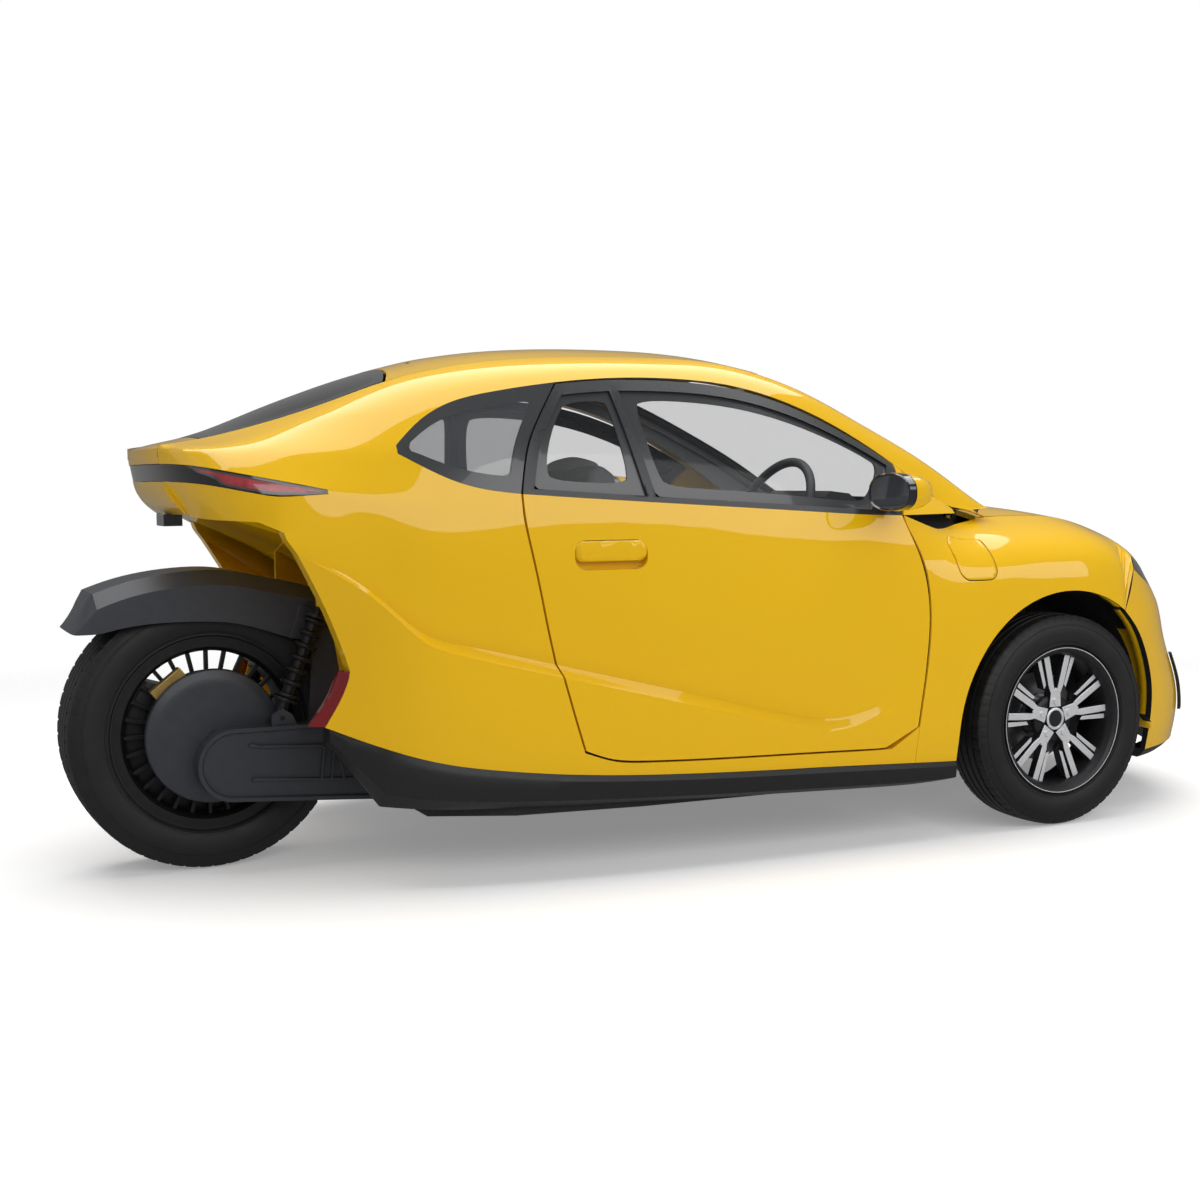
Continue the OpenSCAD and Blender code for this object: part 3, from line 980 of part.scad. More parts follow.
module swing_arm() color(grey) place() {
    xz_slab(arm_out - arm_t, arm_out) arm_outline();
    // Left arm
    xz_slab(left_arm_y, left_arm_y + 30) polygon([[-34, 300], [-30, 362], [0, 374], [60, 362], [384, 250], [400, 206], [376, 178], [60, 262], [0, 288]]);
    // Axle and pivot tube
    translate([0, 0, rear_tyre_r]) rotate([90, 0, 0]) translate([0, 0, -left_arm_y - 36]) cylinder(r = rear_axle_r, h = left_arm_y + 36 - arm_out + 10);
    translate([arm_pivot[0], 0, arm_pivot[1]]) rotate([90, 0, 0]) translate([0, 0, -left_arm_y - 28]) cylinder(r = pivot_r, h = left_arm_y + 28 - arm_out + 20);
    // Ears for the lower ends of the shocks, and stays of the mudguard
    guard_y = rear_tyre_w/2 + wheel_gap + guard_t + fit_gap;
    for (s = [-1, 1]) {
        xz_slab(s*(guard_y + 6) - 6, s*(guard_y + 6) + 6) polygon([[196, 250], [228, 350], [246, 580], [290, 574], [330, 330], [330, 210]]);
        xz_slab(s*(guard_y + 20) - 12, s*(guard_y + 20) + 12) polygon([[240, 232], [330, 222], [322, 310], [236, 318]]);
    }
    shock_ear(1);
    shock_ear(-1);
}
module shock_ear(s) {
    y = s > 0 ? shock_y + 19 : -shock_y - 19;
    xz_slab(min(y, y + s*12), max(y, y + s*12)) difference() {
        polygon([[shock_low[0] - 30, 300], [shock_low[0] - 24, shock_low[1] + 10], [shock_low[0], shock_low[1] + 24],
                 [shock_low[0] + 24, shock_low[1] + 8], [shock_low[0] + 60, 290]]);
        translate(shock_low) circle(r = 6 + pin_gap);
    }
    if (s > 0) translate([shock_low[0] - 30, left_arm_y + 20, 262]) cube([84, shock_y + 19 - left_arm_y - 20 + 12, 44]);
    if (s < 0) translate([shock_low[0] - 30, arm_out - 10, 270]) cube([84, -shock_y - 19 - arm_out + 10, 40]);
}
module rear_shock(s) {
    a = shock_top - shock_low;
    len_s = norm(a);
    tilt = atan2(a[0], a[1]);
    translate([shock_low[0], s*shock_y, shock_low[1]]) rotate([0, tilt, 0]) {
        for (z = [0, len_s]) translate([0, 0, z]) rotate([90, 0, 0]) cylinder(r = 14, h = 32, center = true);
        for (z = [0, len_s]) translate([0, 0, z]) rotate([s*-90, 0, 0]) cylinder(r = 6, h = 31);
        cylinder(r = 15, h = len_s - 40);
        cylinder(r = 8, h = len_s);
        translate([0, 0, 40]) cylinder(r = 29, h = 7);
        translate([0, 0, len_s - 46]) cylinder(r = 29, h = 8);
        turns = 6;
        for (k = [0:turns]) translate([0, 0, 54 + k*(len_s - 108)/turns]) rotate_extrude($fn = 48) translate([21, 0]) circle(r = 6.5, $fn = 16);
    }
}
module rear_shocks() color(black) place() {
    rear_shock(-1);
    rear_shock(1);
}
guard_r = 394;
guard_t = 8;
function guard_arc(r, a0, a1, n) = [for (k = [0:n]) let (a = mix(a0, a1, k/n)) [r*cos(a), rear_tyre_r + r*sin(a)]];
module rear_fender() color(grey) place() {
    half = rear_tyre_w/2 + wheel_gap;
    lower = [[204, 546], [74, 592], [-69, 607], [-151, 600], [-250, 580]];
    difference() {
        xz_slab(-half - guard_t, half + guard_t) polygon(concat([[-312, 580], [-258, 672], [-190, 697], [-95, 715]],
            guard_arc(guard_r, 88, 70, 5), [[250, 672], [300, 655], [334, 604], [338, 528]], lower));
        xz_slab(-half, half) polygon(concat([[-300, 470], [-302, 577], [-252, 662], [-189, 688], [-94, 707]],
            guard_arc(guard_r - guard_t, 88, 70, 5), [[246, 662], [292, 646], [324, 600], [328, 480]]));
    }
}

// ---- the model, one call for each node ----
floor_pan();
battery_pack();
front_subframe();
bodyside_right();
bodyside_left();
roof();
front_fender_right();
front_fender_left();
front_bumper();
bumper_trim();
headlamps();
tail_panel();
rear_lamps();
rear_wheel_wall();
windscreen();
quarter_windows();
cowl_trim();
sills();
dashboard();
driver_seat();
charge_port();
charge_flap();
bonnet();
rear_hatch();
door_right();
door_frame_right();
door_glass_right();
mirror_right();
door_left();
door_frame_left();
door_glass_left();
mirror_left();
steering_wheel();
front_suspension();
knuckle_right();
knuckle_left();
front_rim_right();
front_tyre_right();
front_rim_left();
front_tyre_left();
swing_arm();
drive_cover();
rear_fender();
rear_shocks();
rear_caliper();
rear_rim();
rear_tyre();
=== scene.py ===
import json
from math import atan2, cos, degrees, hypot, pi, radians, sin
import bmesh
import bpy
from mathutils import Matrix, Vector
from mathutils.bvhtree import BVHTree


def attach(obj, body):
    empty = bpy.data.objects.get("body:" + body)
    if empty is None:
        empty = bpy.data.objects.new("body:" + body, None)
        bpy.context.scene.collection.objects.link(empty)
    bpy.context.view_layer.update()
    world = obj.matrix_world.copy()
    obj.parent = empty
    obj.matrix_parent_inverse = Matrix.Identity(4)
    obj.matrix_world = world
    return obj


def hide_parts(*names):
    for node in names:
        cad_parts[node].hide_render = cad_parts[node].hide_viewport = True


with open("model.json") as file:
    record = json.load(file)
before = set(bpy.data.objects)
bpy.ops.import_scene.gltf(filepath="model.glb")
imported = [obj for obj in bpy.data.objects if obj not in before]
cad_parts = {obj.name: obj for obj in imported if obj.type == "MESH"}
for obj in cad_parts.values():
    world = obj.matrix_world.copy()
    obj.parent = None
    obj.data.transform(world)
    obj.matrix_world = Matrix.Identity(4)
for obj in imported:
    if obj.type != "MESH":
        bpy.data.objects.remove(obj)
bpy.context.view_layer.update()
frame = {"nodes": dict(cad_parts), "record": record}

# ---- the place where the car is shown ----
# A pale studio floor, a high soft ceiling of light, a large soft light at the car's
# right side and a faint one behind. The camera stands low, under a metre up.
scene = bpy.context.scene
eye = Vector((-2.062, -3.850, 0.931))
EYE_YAW, EYE_DIP, EYE_ROLL = 0.4535, 0.0785, -0.0092
ahead = Vector((sin(EYE_YAW)*cos(EYE_DIP), cos(EYE_YAW)*cos(EYE_DIP), -sin(EYE_DIP)))
flat_right = Vector((cos(EYE_YAW), -sin(EYE_YAW), 0))
flat_up = flat_right.cross(ahead)
eye_right = flat_right*cos(EYE_ROLL) + flat_up*sin(EYE_ROLL)
eye_up = flat_up*cos(EYE_ROLL) - flat_right*sin(EYE_ROLL)
SENSOR_W = 36
LENS_TO_SENSOR = 1.3115
lens = bpy.data.cameras.new("camera")
lens.sensor_width = SENSOR_W
lens.lens = SENSOR_W*LENS_TO_SENSOR
camera = bpy.data.objects.new("camera", lens)
scene.collection.objects.link(camera)
turn = Matrix((eye_right, eye_up, -ahead)).transposed().to_4x4()
camera.matrix_world = Matrix.Translation(eye) @ turn
scene.camera = camera
scene.view_settings.view_transform = "Standard"

SKY_LEVEL = 0.20
world = bpy.data.worlds.new("studio")
scene.world = world
world.use_nodes = True
sky = world.node_tree
soft = sky.nodes["Background"]
soft.inputs["Strength"].default_value = SKY_LEVEL
soft.inputs["Color"].default_value = (1, 1, 1, 1)
seen = sky.nodes.new("ShaderNodeBackground")
seen.inputs["Strength"].default_value = 1.0
seen.inputs["Color"].default_value = (1, 1, 1, 1)
path = sky.nodes.new("ShaderNodeLightPath")
either = sky.nodes.new("ShaderNodeMath")
either.operation = "MAXIMUM"
sky.links.new(path.outputs["Is Camera Ray"], either.inputs[0])
sky.links.new(path.outputs["Is Transmission Ray"], either.inputs[1])
pick = sky.nodes.new("ShaderNodeMixShader")
sky.links.new(either.outputs[0], pick.inputs[0])
sky.links.new(soft.outputs[0], pick.inputs[1])
sky.links.new(seen.outputs[0], pick.inputs[2])
sky.links.new(pick.outputs[0], sky.nodes["World Output"].inputs["Surface"])


def soft_light(name, place, aim, wide, deep, power):
    """A flat soft light that faces the place it is aimed at."""
    data = bpy.data.lights.new(name, "AREA")
    data.shape = "RECTANGLE"
    data.size, data.size_y, data.energy = wide, deep, power
    lamp = bpy.data.objects.new(name, data)
    scene.collection.objects.link(lamp)
    lamp.location = place
    lamp.rotation_euler = (Vector(aim) - Vector(place)).to_track_quat("-Z", "Y").to_euler()


soft_light("ceiling_light", (0.1, 0.4, 4.6), (0, 0, 0.5), wide=7.5, deep=4.5, power=285)
soft_light("side_light", (0.6, -5.4, 3.3), (0.2, 0, 0.9), wide=11.0, deep=2.5, power=185)
soft_light("back_light", (-4.8, 1.0, 2.4), (-1, 0, 0.6), wide=3.0, deep=2.5, power=8)

FLOOR_R = 9.0
FLOOR_FADE = (2.6, 4.6)
FLOOR_TONE = 0.93
FLOOR_LIFT = 0.24
floor_mesh = bpy.data.meshes.new("studio_floor")
bm = bmesh.new()
bmesh.ops.create_circle(bm, cap_ends=True, segments=96, radius=FLOOR_R)
bm.to_mesh(floor_mesh)
bm.free()
floor = bpy.data.objects.new("studio_floor", floor_mesh)
scene.collection.objects.link(floor)
pale = bpy.data.materials.new("pale_floor")
pale.use_nodes = True
t = pale.node_tree
shader = t.nodes["Principled BSDF"]
shader.inputs["Base Color"].default_value = (FLOOR_TONE, FLOOR_TONE, FLOOR_TONE, 1)
shader.inputs["Roughness"].default_value = 0.75
shader.inputs["Specular IOR Level"].default_value = 0.1
shader.inputs["Emission Color"].default_value = (1, 1, 1, 1)
seen_floor = t.nodes.new("ShaderNodeLightPath")
lift = t.nodes.new("ShaderNodeMath")
lift.operation = "MULTIPLY"
lift.inputs[1].default_value = FLOOR_LIFT
t.links.new(seen_floor.outputs["Is Camera Ray"], lift.inputs[0])
t.links.new(lift.outputs[0], shader.inputs["Emission Strength"])
where = t.nodes.new("ShaderNodeTexCoord")
far = t.nodes.new("ShaderNodeVectorMath")
far.operation = "LENGTH"
fade = t.nodes.new("ShaderNodeMapRange")
fade.inputs["From Min"].default_value = FLOOR_FADE[0]
fade.inputs["From Max"].default_value = FLOOR_FADE[1]
clear = t.nodes.new("ShaderNodeBsdfTransparent")
blend = t.nodes.new("ShaderNodeMixShader")
t.links.new(where.outputs["Object"], far.inputs[0])
t.links.new(far.outputs["Value"], fade.inputs["Value"])
t.links.new(fade.outputs[0], blend.inputs[0])
t.links.new(shader.outputs[0], blend.inputs[1])
t.links.new(clear.outputs[0], blend.inputs[2])
t.links.new(blend.outputs[0], t.nodes["Material Output"].inputs["Surface"])
floor_mesh.materials.append(pale)
# The paint reflects the room behind the floor, which is darker
floor.visible_glossy = False


# ---- painted panels ----
# Moulded panels in yellow under a clear coat, each a few millimetres thick, with
# a plain dark inner side. They are hung on the body with thin seams between them.
CLEAR_COAT_ROUGH = 0.03
RELIEF_DEPTH = 0.0004
NOISE_ENDS = (0.3, 0.7)


def finish(name, tone, rough, metal=0.0, coat=0.0, vary=0.05, grain=30.0, bump=0.0, fine=600.0,
           alpha=1.0, sheen=0.0, level=0.5):
    """A surface whose tone, roughness and relief vary a little at the scale of the real one."""
    m = bpy.data.materials.new(name)
    m.use_nodes = True
    tree = m.node_tree
    shader = tree.nodes["Principled BSDF"]
    place = tree.nodes.new("ShaderNodeTexCoord")
    cloud = tree.nodes.new("ShaderNodeTexNoise")
    cloud.inputs["Scale"].default_value = grain
    cloud.inputs["Detail"].default_value = 5
    tree.links.new(place.outputs["Object"], cloud.inputs["Vector"])
    ramp = tree.nodes.new("ShaderNodeValToRGB")
    ramp.color_ramp.elements[0].position = NOISE_ENDS[0]
    ramp.color_ramp.elements[1].position = NOISE_ENDS[1]
    ramp.color_ramp.elements[0].color = (*[c*(1 - vary) for c in tone], 1)
    ramp.color_ramp.elements[1].color = (*[min(c*(1 + vary), 1) for c in tone], 1)
    tree.links.new(cloud.outputs["Fac"], ramp.inputs["Fac"])
    tree.links.new(ramp.outputs["Color"], shader.inputs["Base Color"])
    spread = tree.nodes.new("ShaderNodeMapRange")
    spread.inputs["From Min"].default_value = NOISE_ENDS[0]
    spread.inputs["From Max"].default_value = NOISE_ENDS[1]
    spread.inputs["To Min"].default_value = rough*0.9
    spread.inputs["To Max"].default_value = min(rough*1.12, 1)
    tree.links.new(cloud.outputs["Fac"], spread.inputs["Value"])
    tree.links.new(spread.outputs[0], shader.inputs["Roughness"])
    if bump:
        specks = tree.nodes.new("ShaderNodeTexNoise")
        specks.inputs["Scale"].default_value = fine
        specks.inputs["Detail"].default_value = 2
        relief = tree.nodes.new("ShaderNodeBump")
        relief.inputs["Strength"].default_value = bump
        relief.inputs["Distance"].default_value = RELIEF_DEPTH
        tree.links.new(place.outputs["Object"], specks.inputs["Vector"])
        tree.links.new(specks.outputs["Fac"], relief.inputs["Height"])
        tree.links.new(relief.outputs[0], shader.inputs["Normal"])
    shader.inputs["Metallic"].default_value = metal
    shader.inputs["Coat Weight"].default_value = coat
    shader.inputs["Coat Roughness"].default_value = CLEAR_COAT_ROUGH
    shader.inputs["Specular IOR Level"].default_value = level
    shader.inputs["Sheen Weight"].default_value = sheen
    shader.inputs["Alpha"].default_value = alpha
    return m


yellow = finish("yellow_paint", (0.86, 0.50, 0.004), 0.45, coat=1.0, vary=0.03, grain=900, bump=0.03,
                fine=1400, level=0.08)
inner_trim = finish("inner_trim", (0.20, 0.205, 0.215), 0.7, vary=0.08, grain=60, bump=0.35, fine=900)
under_black = finish("underside_black", (0.012, 0.012, 0.013), 0.8, vary=0.1, grain=40, bump=0.3)
black_trim = finish("grained_black", (0.014, 0.0145, 0.016), 0.42, vary=0.08, grain=80, bump=0.35,
                    fine=1100)
frame_grey = finish("window_frame_grey", (0.030, 0.032, 0.035), 0.30, vary=0.06, grain=120, bump=0.08,
                    fine=1500)
SAME_POINT = 0.00003


def merged(node):
    """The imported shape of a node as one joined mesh, of quads where its triangles pair."""
    m = bmesh.new()
    m.from_mesh(frame["nodes"][node].data)
    bmesh.ops.remove_doubles(m, verts=m.verts, dist=SAME_POINT)
    bmesh.ops.join_triangles(m, faces=m.faces, angle_face_threshold=radians(40),
                             angle_shape_threshold=radians(60))
    return m


def piece(name, m, *mats):
    """A new object from a bmesh, with its faces as they are set."""
    mesh = bpy.data.meshes.new(name)
    m.to_mesh(mesh)
    m.free()
    for extra in ("custom_normal", "normal"):
        if extra in mesh.attributes:
            mesh.attributes.remove(mesh.attributes[extra])
    o = bpy.data.objects.new(name, mesh)
    scene.collection.objects.link(o)
    for mat in mats:
        mesh.materials.append(mat)
    return o


rides_on = {n: b for b, names in frame["record"]["behaviour"]["bodies"].items() for n in names}


def hang(o, slot, *nodes, body=None):
    """The piece moves with the body of the nodes that it stands for."""
    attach(o, body or rides_on[nodes[0]])
    if nodes:
        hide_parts(*nodes)
    return o


def mark_edges(m, soft_from=16, hard_from=42, corner_from=70):
    """Smooth faces, with creases where the shape has an edge."""
    crease = m.edges.layers.float.get("crease_edge") or m.edges.layers.float.new("crease_edge")
    for f in m.faces:
        f.smooth = True
    for edge in m.edges:
        if len(edge.link_faces) != 2:
            edge[crease] = 1.0
            continue
        bend = degrees(edge.calc_face_angle(0))
        edge[crease] = min(max((bend - soft_from)/(hard_from - soft_from), 0), 1)
        if bend > hard_from:
            edge.smooth = False
    # A sharp edge that turns a corner keeps the corner
    corner = m.verts.layers.float.get("crease_vert") or m.verts.layers.float.new("crease_vert")
    for v in m.verts:
        rims = [e for e in v.link_edges if e[crease] > 0.9]
        if len(rims) == 2:
            a, b = (e.other_vert(v).co - v.co for e in rims)
            if a.length and b.length and degrees(a.angle(b)) < 180 - corner_from:
                v[corner] = 1.0


def height_at(x, table):
    """Height from a table of lengths and heights, straight between its rows."""
    for (x0, z0), (x1, z1) in zip(table, table[1:]):
        if x <= x1:
            return z0 + (z1 - z0)*max(x - x0, 0)/(x1 - x0)
    return table[-1][1]


AXLE_BACK = 1271.0


def at(x, y, z):
    """A place given in millimetres from the rear axle, on the ground, as the frame has it."""
    return Vector(((x - AXLE_BACK)/1000, y/1000, z/1000))


# The pressed line low on the side: its lower edge, and the height of the step above it
CREASE_LOW = [(172, 768), (377, 562), (430, 542), (1300, 320), (1385, 303), (1455, 314), (1540, 348),
              (1640, 402)]
CREASE_TALL = [(172, 6), (320, 18), (500, 26), (1300, 26), (1440, 30), (1640, 20)]
CREASE_ENDS = (176, 1632)
CREASE_REACH = 4


def keep_side_crease(m):
    """The pressed line low on the side stays crisp where the rounding would soften it."""
    crease = m.edges.layers.float.get("crease_edge")
    for e in m.edges:
        fits = [True, True]
        for v in e.verts:
            x, z = v.co.x*1000 + AXLE_BACK, v.co.z*1000
            within = CREASE_ENDS[0] < x < CREASE_ENDS[1]
            above = z - height_at(x, CREASE_LOW)
            fits[0] = fits[0] and within and abs(above) < CREASE_REACH
            fits[1] = fits[1] and within and abs(above - height_at(x, CREASE_TALL)) < CREASE_REACH
        if fits[0] or fits[1]:
            e[crease] = 1.0


def rounded(o, levels):
    s = o.modifiers.new("rounding", "SUBSURF")
    s.levels = s.render_levels = levels
    s.boundary_smooth = "PRESERVE_CORNERS"
    return o


TAIL_SHOWS = (400, 870)


def skin(name, node, outward, lining=inner_trim):
    """A panel with its outer side painted and its inner side lined."""
    m = merged(node)
    mark_edges(m)
    keep_side_crease(m)
    m.normal_update()
    # The inner side of the flank is painted too where it shows over the rear wheel
    tail = at(TAIL_SHOWS[0], 0, TAIL_SHOWS[1])
    for f in m.faces:
        hidden = f.normal.dot(outward) < -0.25
        if node.startswith("bodyside"):
            c = f.calc_center_median()
            hidden = hidden and not (c.x < tail.x and c.z < tail.z)
        f.material_index = 1 if hidden else 0
    hang(rounded(piece(name, m, yellow, lining), 2), "body_paint", node)


RIGHT, LEFT, UP, AHEAD = Vector((0, -1, 0)), Vector((0, 1, 0)), Vector((0, 0, 1)), Vector((1, 0, 0))
for hand, out in (("right", RIGHT), ("left", LEFT)):
    skin(f"side_panel_{hand}", f"bodyside_{hand}", out)
skin("roof_panel", "roof", UP)
skin("bonnet_panel", "bonnet", UP, lining=under_black)
skin("tail_panels", "tail_panel", Vector((-1, 0, 0.3)), lining=under_black)
skin("bumper_panel", "front_bumper", AHEAD, lining=under_black)
skin("wheel_wall", "rear_wheel_wall", Vector((-1, 0, -0.4)), lining=yellow)


# ---- fenders and the charging flap ----
# The right fender has a rounded opening with a flap of the same skin, the left
# one is whole. Both are drawn from the whole left one, so that the skins match.
def fender_mesh(hand):
    m = merged("front_fender_left")
    if hand == "right":
        bmesh.ops.scale(m, verts=m.verts, vec=(1, -1, 1))
        bmesh.ops.reverse_faces(m, faces=m.faces)
    mark_edges(m, corner_from=17)
    m.normal_update()
    out = RIGHT if hand == "right" else LEFT
    for f in m.faces:
        f.material_index = 1 if f.normal.dot(out + UP*0.3) < -0.2 else 0
    return m


def round_block(m, radius):
    """Rounds the edges of a block that run across the car."""
    across = [e for e in m.edges if abs((e.verts[0].co - e.verts[1].co).normalized().y) > 0.9]
    bmesh.ops.bevel(m, geom=across, offset=radius, segments=8, affect="EDGES", profile=0.5, material=-1)


# Corners of the flap as length and height, with the side each lies on
FLAP_CORNERS = [(1752, 659, -1, -1), (1868, 659, 1, -1), (1864, 774, 1, 1), (1738, 774, -1, 1)]
FLAP_ROUND = 0.030
FLAP_GAP = 2.6
FLAP_BLOCK_Y, FLAP_BLOCK_DEEP = -760, 0.12


def flap_block(grow):
    """Rounded block through the fender where the flap is, larger all round by grow millimetres."""
    m = bmesh.new()
    corners = [at(x + sx*grow, FLAP_BLOCK_Y, z + sz*grow) for x, z, sx, sz in FLAP_CORNERS]
    f = m.faces.new([m.verts.new(c) for c in corners])
    r = bmesh.ops.extrude_face_region(m, geom=[f])
    far_side = [v for v in r["geom"] if isinstance(v, bmesh.types.BMVert)]
    bmesh.ops.translate(m, verts=far_side, vec=(0, FLAP_BLOCK_DEEP, 0))
    bmesh.ops.recalc_face_normals(m, faces=m.faces)
    round_block(m, FLAP_ROUND + grow/1000)
    return m


def cut(o, block, how):
    """The piece with a block cut out of it, or only what lies inside the block."""
    bpy.context.view_layer.update()
    tool = piece("cutter", block)
    b = o.modifiers.new("cut", "BOOLEAN")
    b.operation, b.object, b.solver = how, tool, "EXACT"
    bpy.context.view_layer.update()
    mesh = bpy.data.meshes.new_from_object(o.evaluated_get(bpy.context.evaluated_depsgraph_get()))
    o.modifiers.clear()
    o.data = mesh
    bpy.data.objects.remove(tool)


fender_left = rounded(piece("fender_left", fender_mesh("left"), yellow, under_black), 2)
hang(fender_left, "body_paint", "front_fender_left")
fender_right = rounded(piece("fender_right", fender_mesh("right"), yellow, under_black), 2)
cut(fender_right, flap_block(0), "DIFFERENCE")
hang(fender_right, "body_paint", "front_fender_right")
flap = rounded(piece("charge_flap_panel", fender_mesh("right"), yellow, under_black), 2)
cut(flap, flap_block(-FLAP_GAP), "INTERSECT")
hang(flap, "body_paint", "charge_flap")


# ---- doors with their handles ----
# Each door is one skin with a pocket pressed into it, and a flap in the pocket
# that is pulled from below. The inner side is a moulded grey card.
POCKET_X = (717, 891)
POCKET_Z = (718, 786)
POCKET_DEEP, POCKET_ROUND = 0.022, 0.028
PULL_LOW, PULL_DEEP, PULL_ROUND, PULL_GAP = 736, 0.010, 0.019, 1.7
SCOOP_FROM, SCOOP_TALL, SCOOP_DEEP = 756, 0.018, 0.006
BLOCK_Y, BLOCK_THICK, BLOCK_PAST = 0.75, 0.2, 0.06


def handle_block(hand, grow, deep, low, radius):
    """Rounded block into the door, as deep everywhere below the door's own surface."""
    side = -1 if hand == "right" else 1
    door_skin = merged(f"door_{hand}")
    tree = BVHTree.FromBMesh(door_skin)
    door_skin.free()
    lo, hi = at(POCKET_X[0] - grow, 0, low - grow), at(POCKET_X[1] + grow, 0, POCKET_Z[1] + grow)
    mid = (lo + hi)/2
    surface = []
    for x in (lo.x, hi.x):
        struck = tree.ray_cast(Vector((x, side, mid.z)), Vector((0, -side, 0)))
        surface.append(abs(struck[0].y))
    m = bmesh.new()
    bmesh.ops.create_cube(m, size=1)
    bmesh.ops.scale(m, verts=m.verts, vec=(hi.x - lo.x, BLOCK_THICK, hi.z - lo.z))
    bmesh.ops.translate(m, verts=m.verts, vec=(mid.x, side*BLOCK_Y, mid.z))
    for v in m.verts:
        near = surface[0] if v.co.x < mid.x else surface[1]
        v.co.y = side*(near - deep if abs(v.co.y) < BLOCK_Y else near + BLOCK_PAST)
    round_block(m, radius + grow/1000)
    return m


def door_mesh(hand):
    m = merged(f"door_{hand}")
    mark_edges(m)
    keep_side_crease(m)
    m.normal_update()
    out = RIGHT if hand == "right" else LEFT
    for f in m.faces:
        f.material_index = 1 if f.normal.dot(out) < -0.25 else 0
    return m


for hand, side in (("right", -1), ("left", 1)):
    door = rounded(piece(f"door_panel_{hand}", door_mesh(hand), yellow, inner_trim), 2)
    cut(door, handle_block(hand, 0, POCKET_DEEP, POCKET_Z[0], POCKET_ROUND), "DIFFERENCE")
    hang(door, "body_paint", f"door_{hand}")
    pull = rounded(piece(f"door_pull_{hand}", door_mesh(hand), yellow, inner_trim), 2)
    cut(pull, handle_block(hand, -PULL_GAP, PULL_DEEP, PULL_LOW, PULL_ROUND), "INTERSECT")
    # The lower edge of the pull is scooped out for the fingers
    for v in pull.data.vertices:
        low = (SCOOP_FROM/1000 - v.co.z)/SCOOP_TALL
        if low > 0:
            v.co.y -= side*SCOOP_DEEP*min(low, 1)
    hang(pull, "body_paint", body=f"door_{hand}")


# ---- window frames, sills and the other black trim ----
# Moulded in grained black plastic and clipped on, so their edges are rounded.
MOULDED_EDGE = 34


def moulding(name, node, mat, slot, edge=0.0015, levels=1):
    """A node's own shape with its edges rounded, by subdivision or by a bevel."""
    m = merged(node)
    mark_edges(m, hard_from=MOULDED_EDGE)
    o = piece(name, m, mat)
    if levels:
        rounded(o, levels)
    elif edge:
        b = o.modifiers.new("edges", "BEVEL")
        b.width, b.segments, b.limit_method, b.angle_limit = edge, 2, "ANGLE", radians(MOULDED_EDGE)
    hang(o, slot, node)


for hand in ("right", "left"):
    moulding(f"window_frame_{hand}", f"door_frame_{hand}", frame_grey, "black_trim", levels=2)
moulding("sill_covers", "sills", black_trim, "black_trim", levels=1)
COWL_PAINTED_FROM = 0.42
m = merged("cowl_trim")
for f in m.faces:
    f.material_index = 1 if abs(f.calc_center_median().y) > COWL_PAINTED_FROM else 0
mark_edges(m)
hang(rounded(piece("cowl_cover", m, black_trim, yellow), 1), "black_trim", "cowl_trim")
moulding("nose_trim", "bumper_trim", black_trim, "black_trim", levels=2)
moulding("charge_well", "charge_port", black_trim, "black_trim", levels=0)
dash_grain = finish("dash_grain", (0.035, 0.036, 0.04), 0.6, vary=0.08, grain=70, bump=0.5, fine=800)
moulding("dash_top", "dashboard", dash_grain, "black_trim", edge=0.012, levels=0)

# ---- wheel houses ----
# A black moulded liner arches over each front wheel, and the fender turns in to
# meet it with a narrow painted edge.
def edge_reach(shell, x, z):
    """Width at which the panel's inner side lies, at a length and a height."""
    hit = shell.ray_cast(Vector((x, 0.30, z)), Vector((0, 1, 0)))
    return hit[0].y if hit[0] else None


ARCH_R, LINER_IN, PANEL_MEAN_Y = 0.3475, 0.374, 0.66
LINER_FROM, LINER_TURN = -9, 198
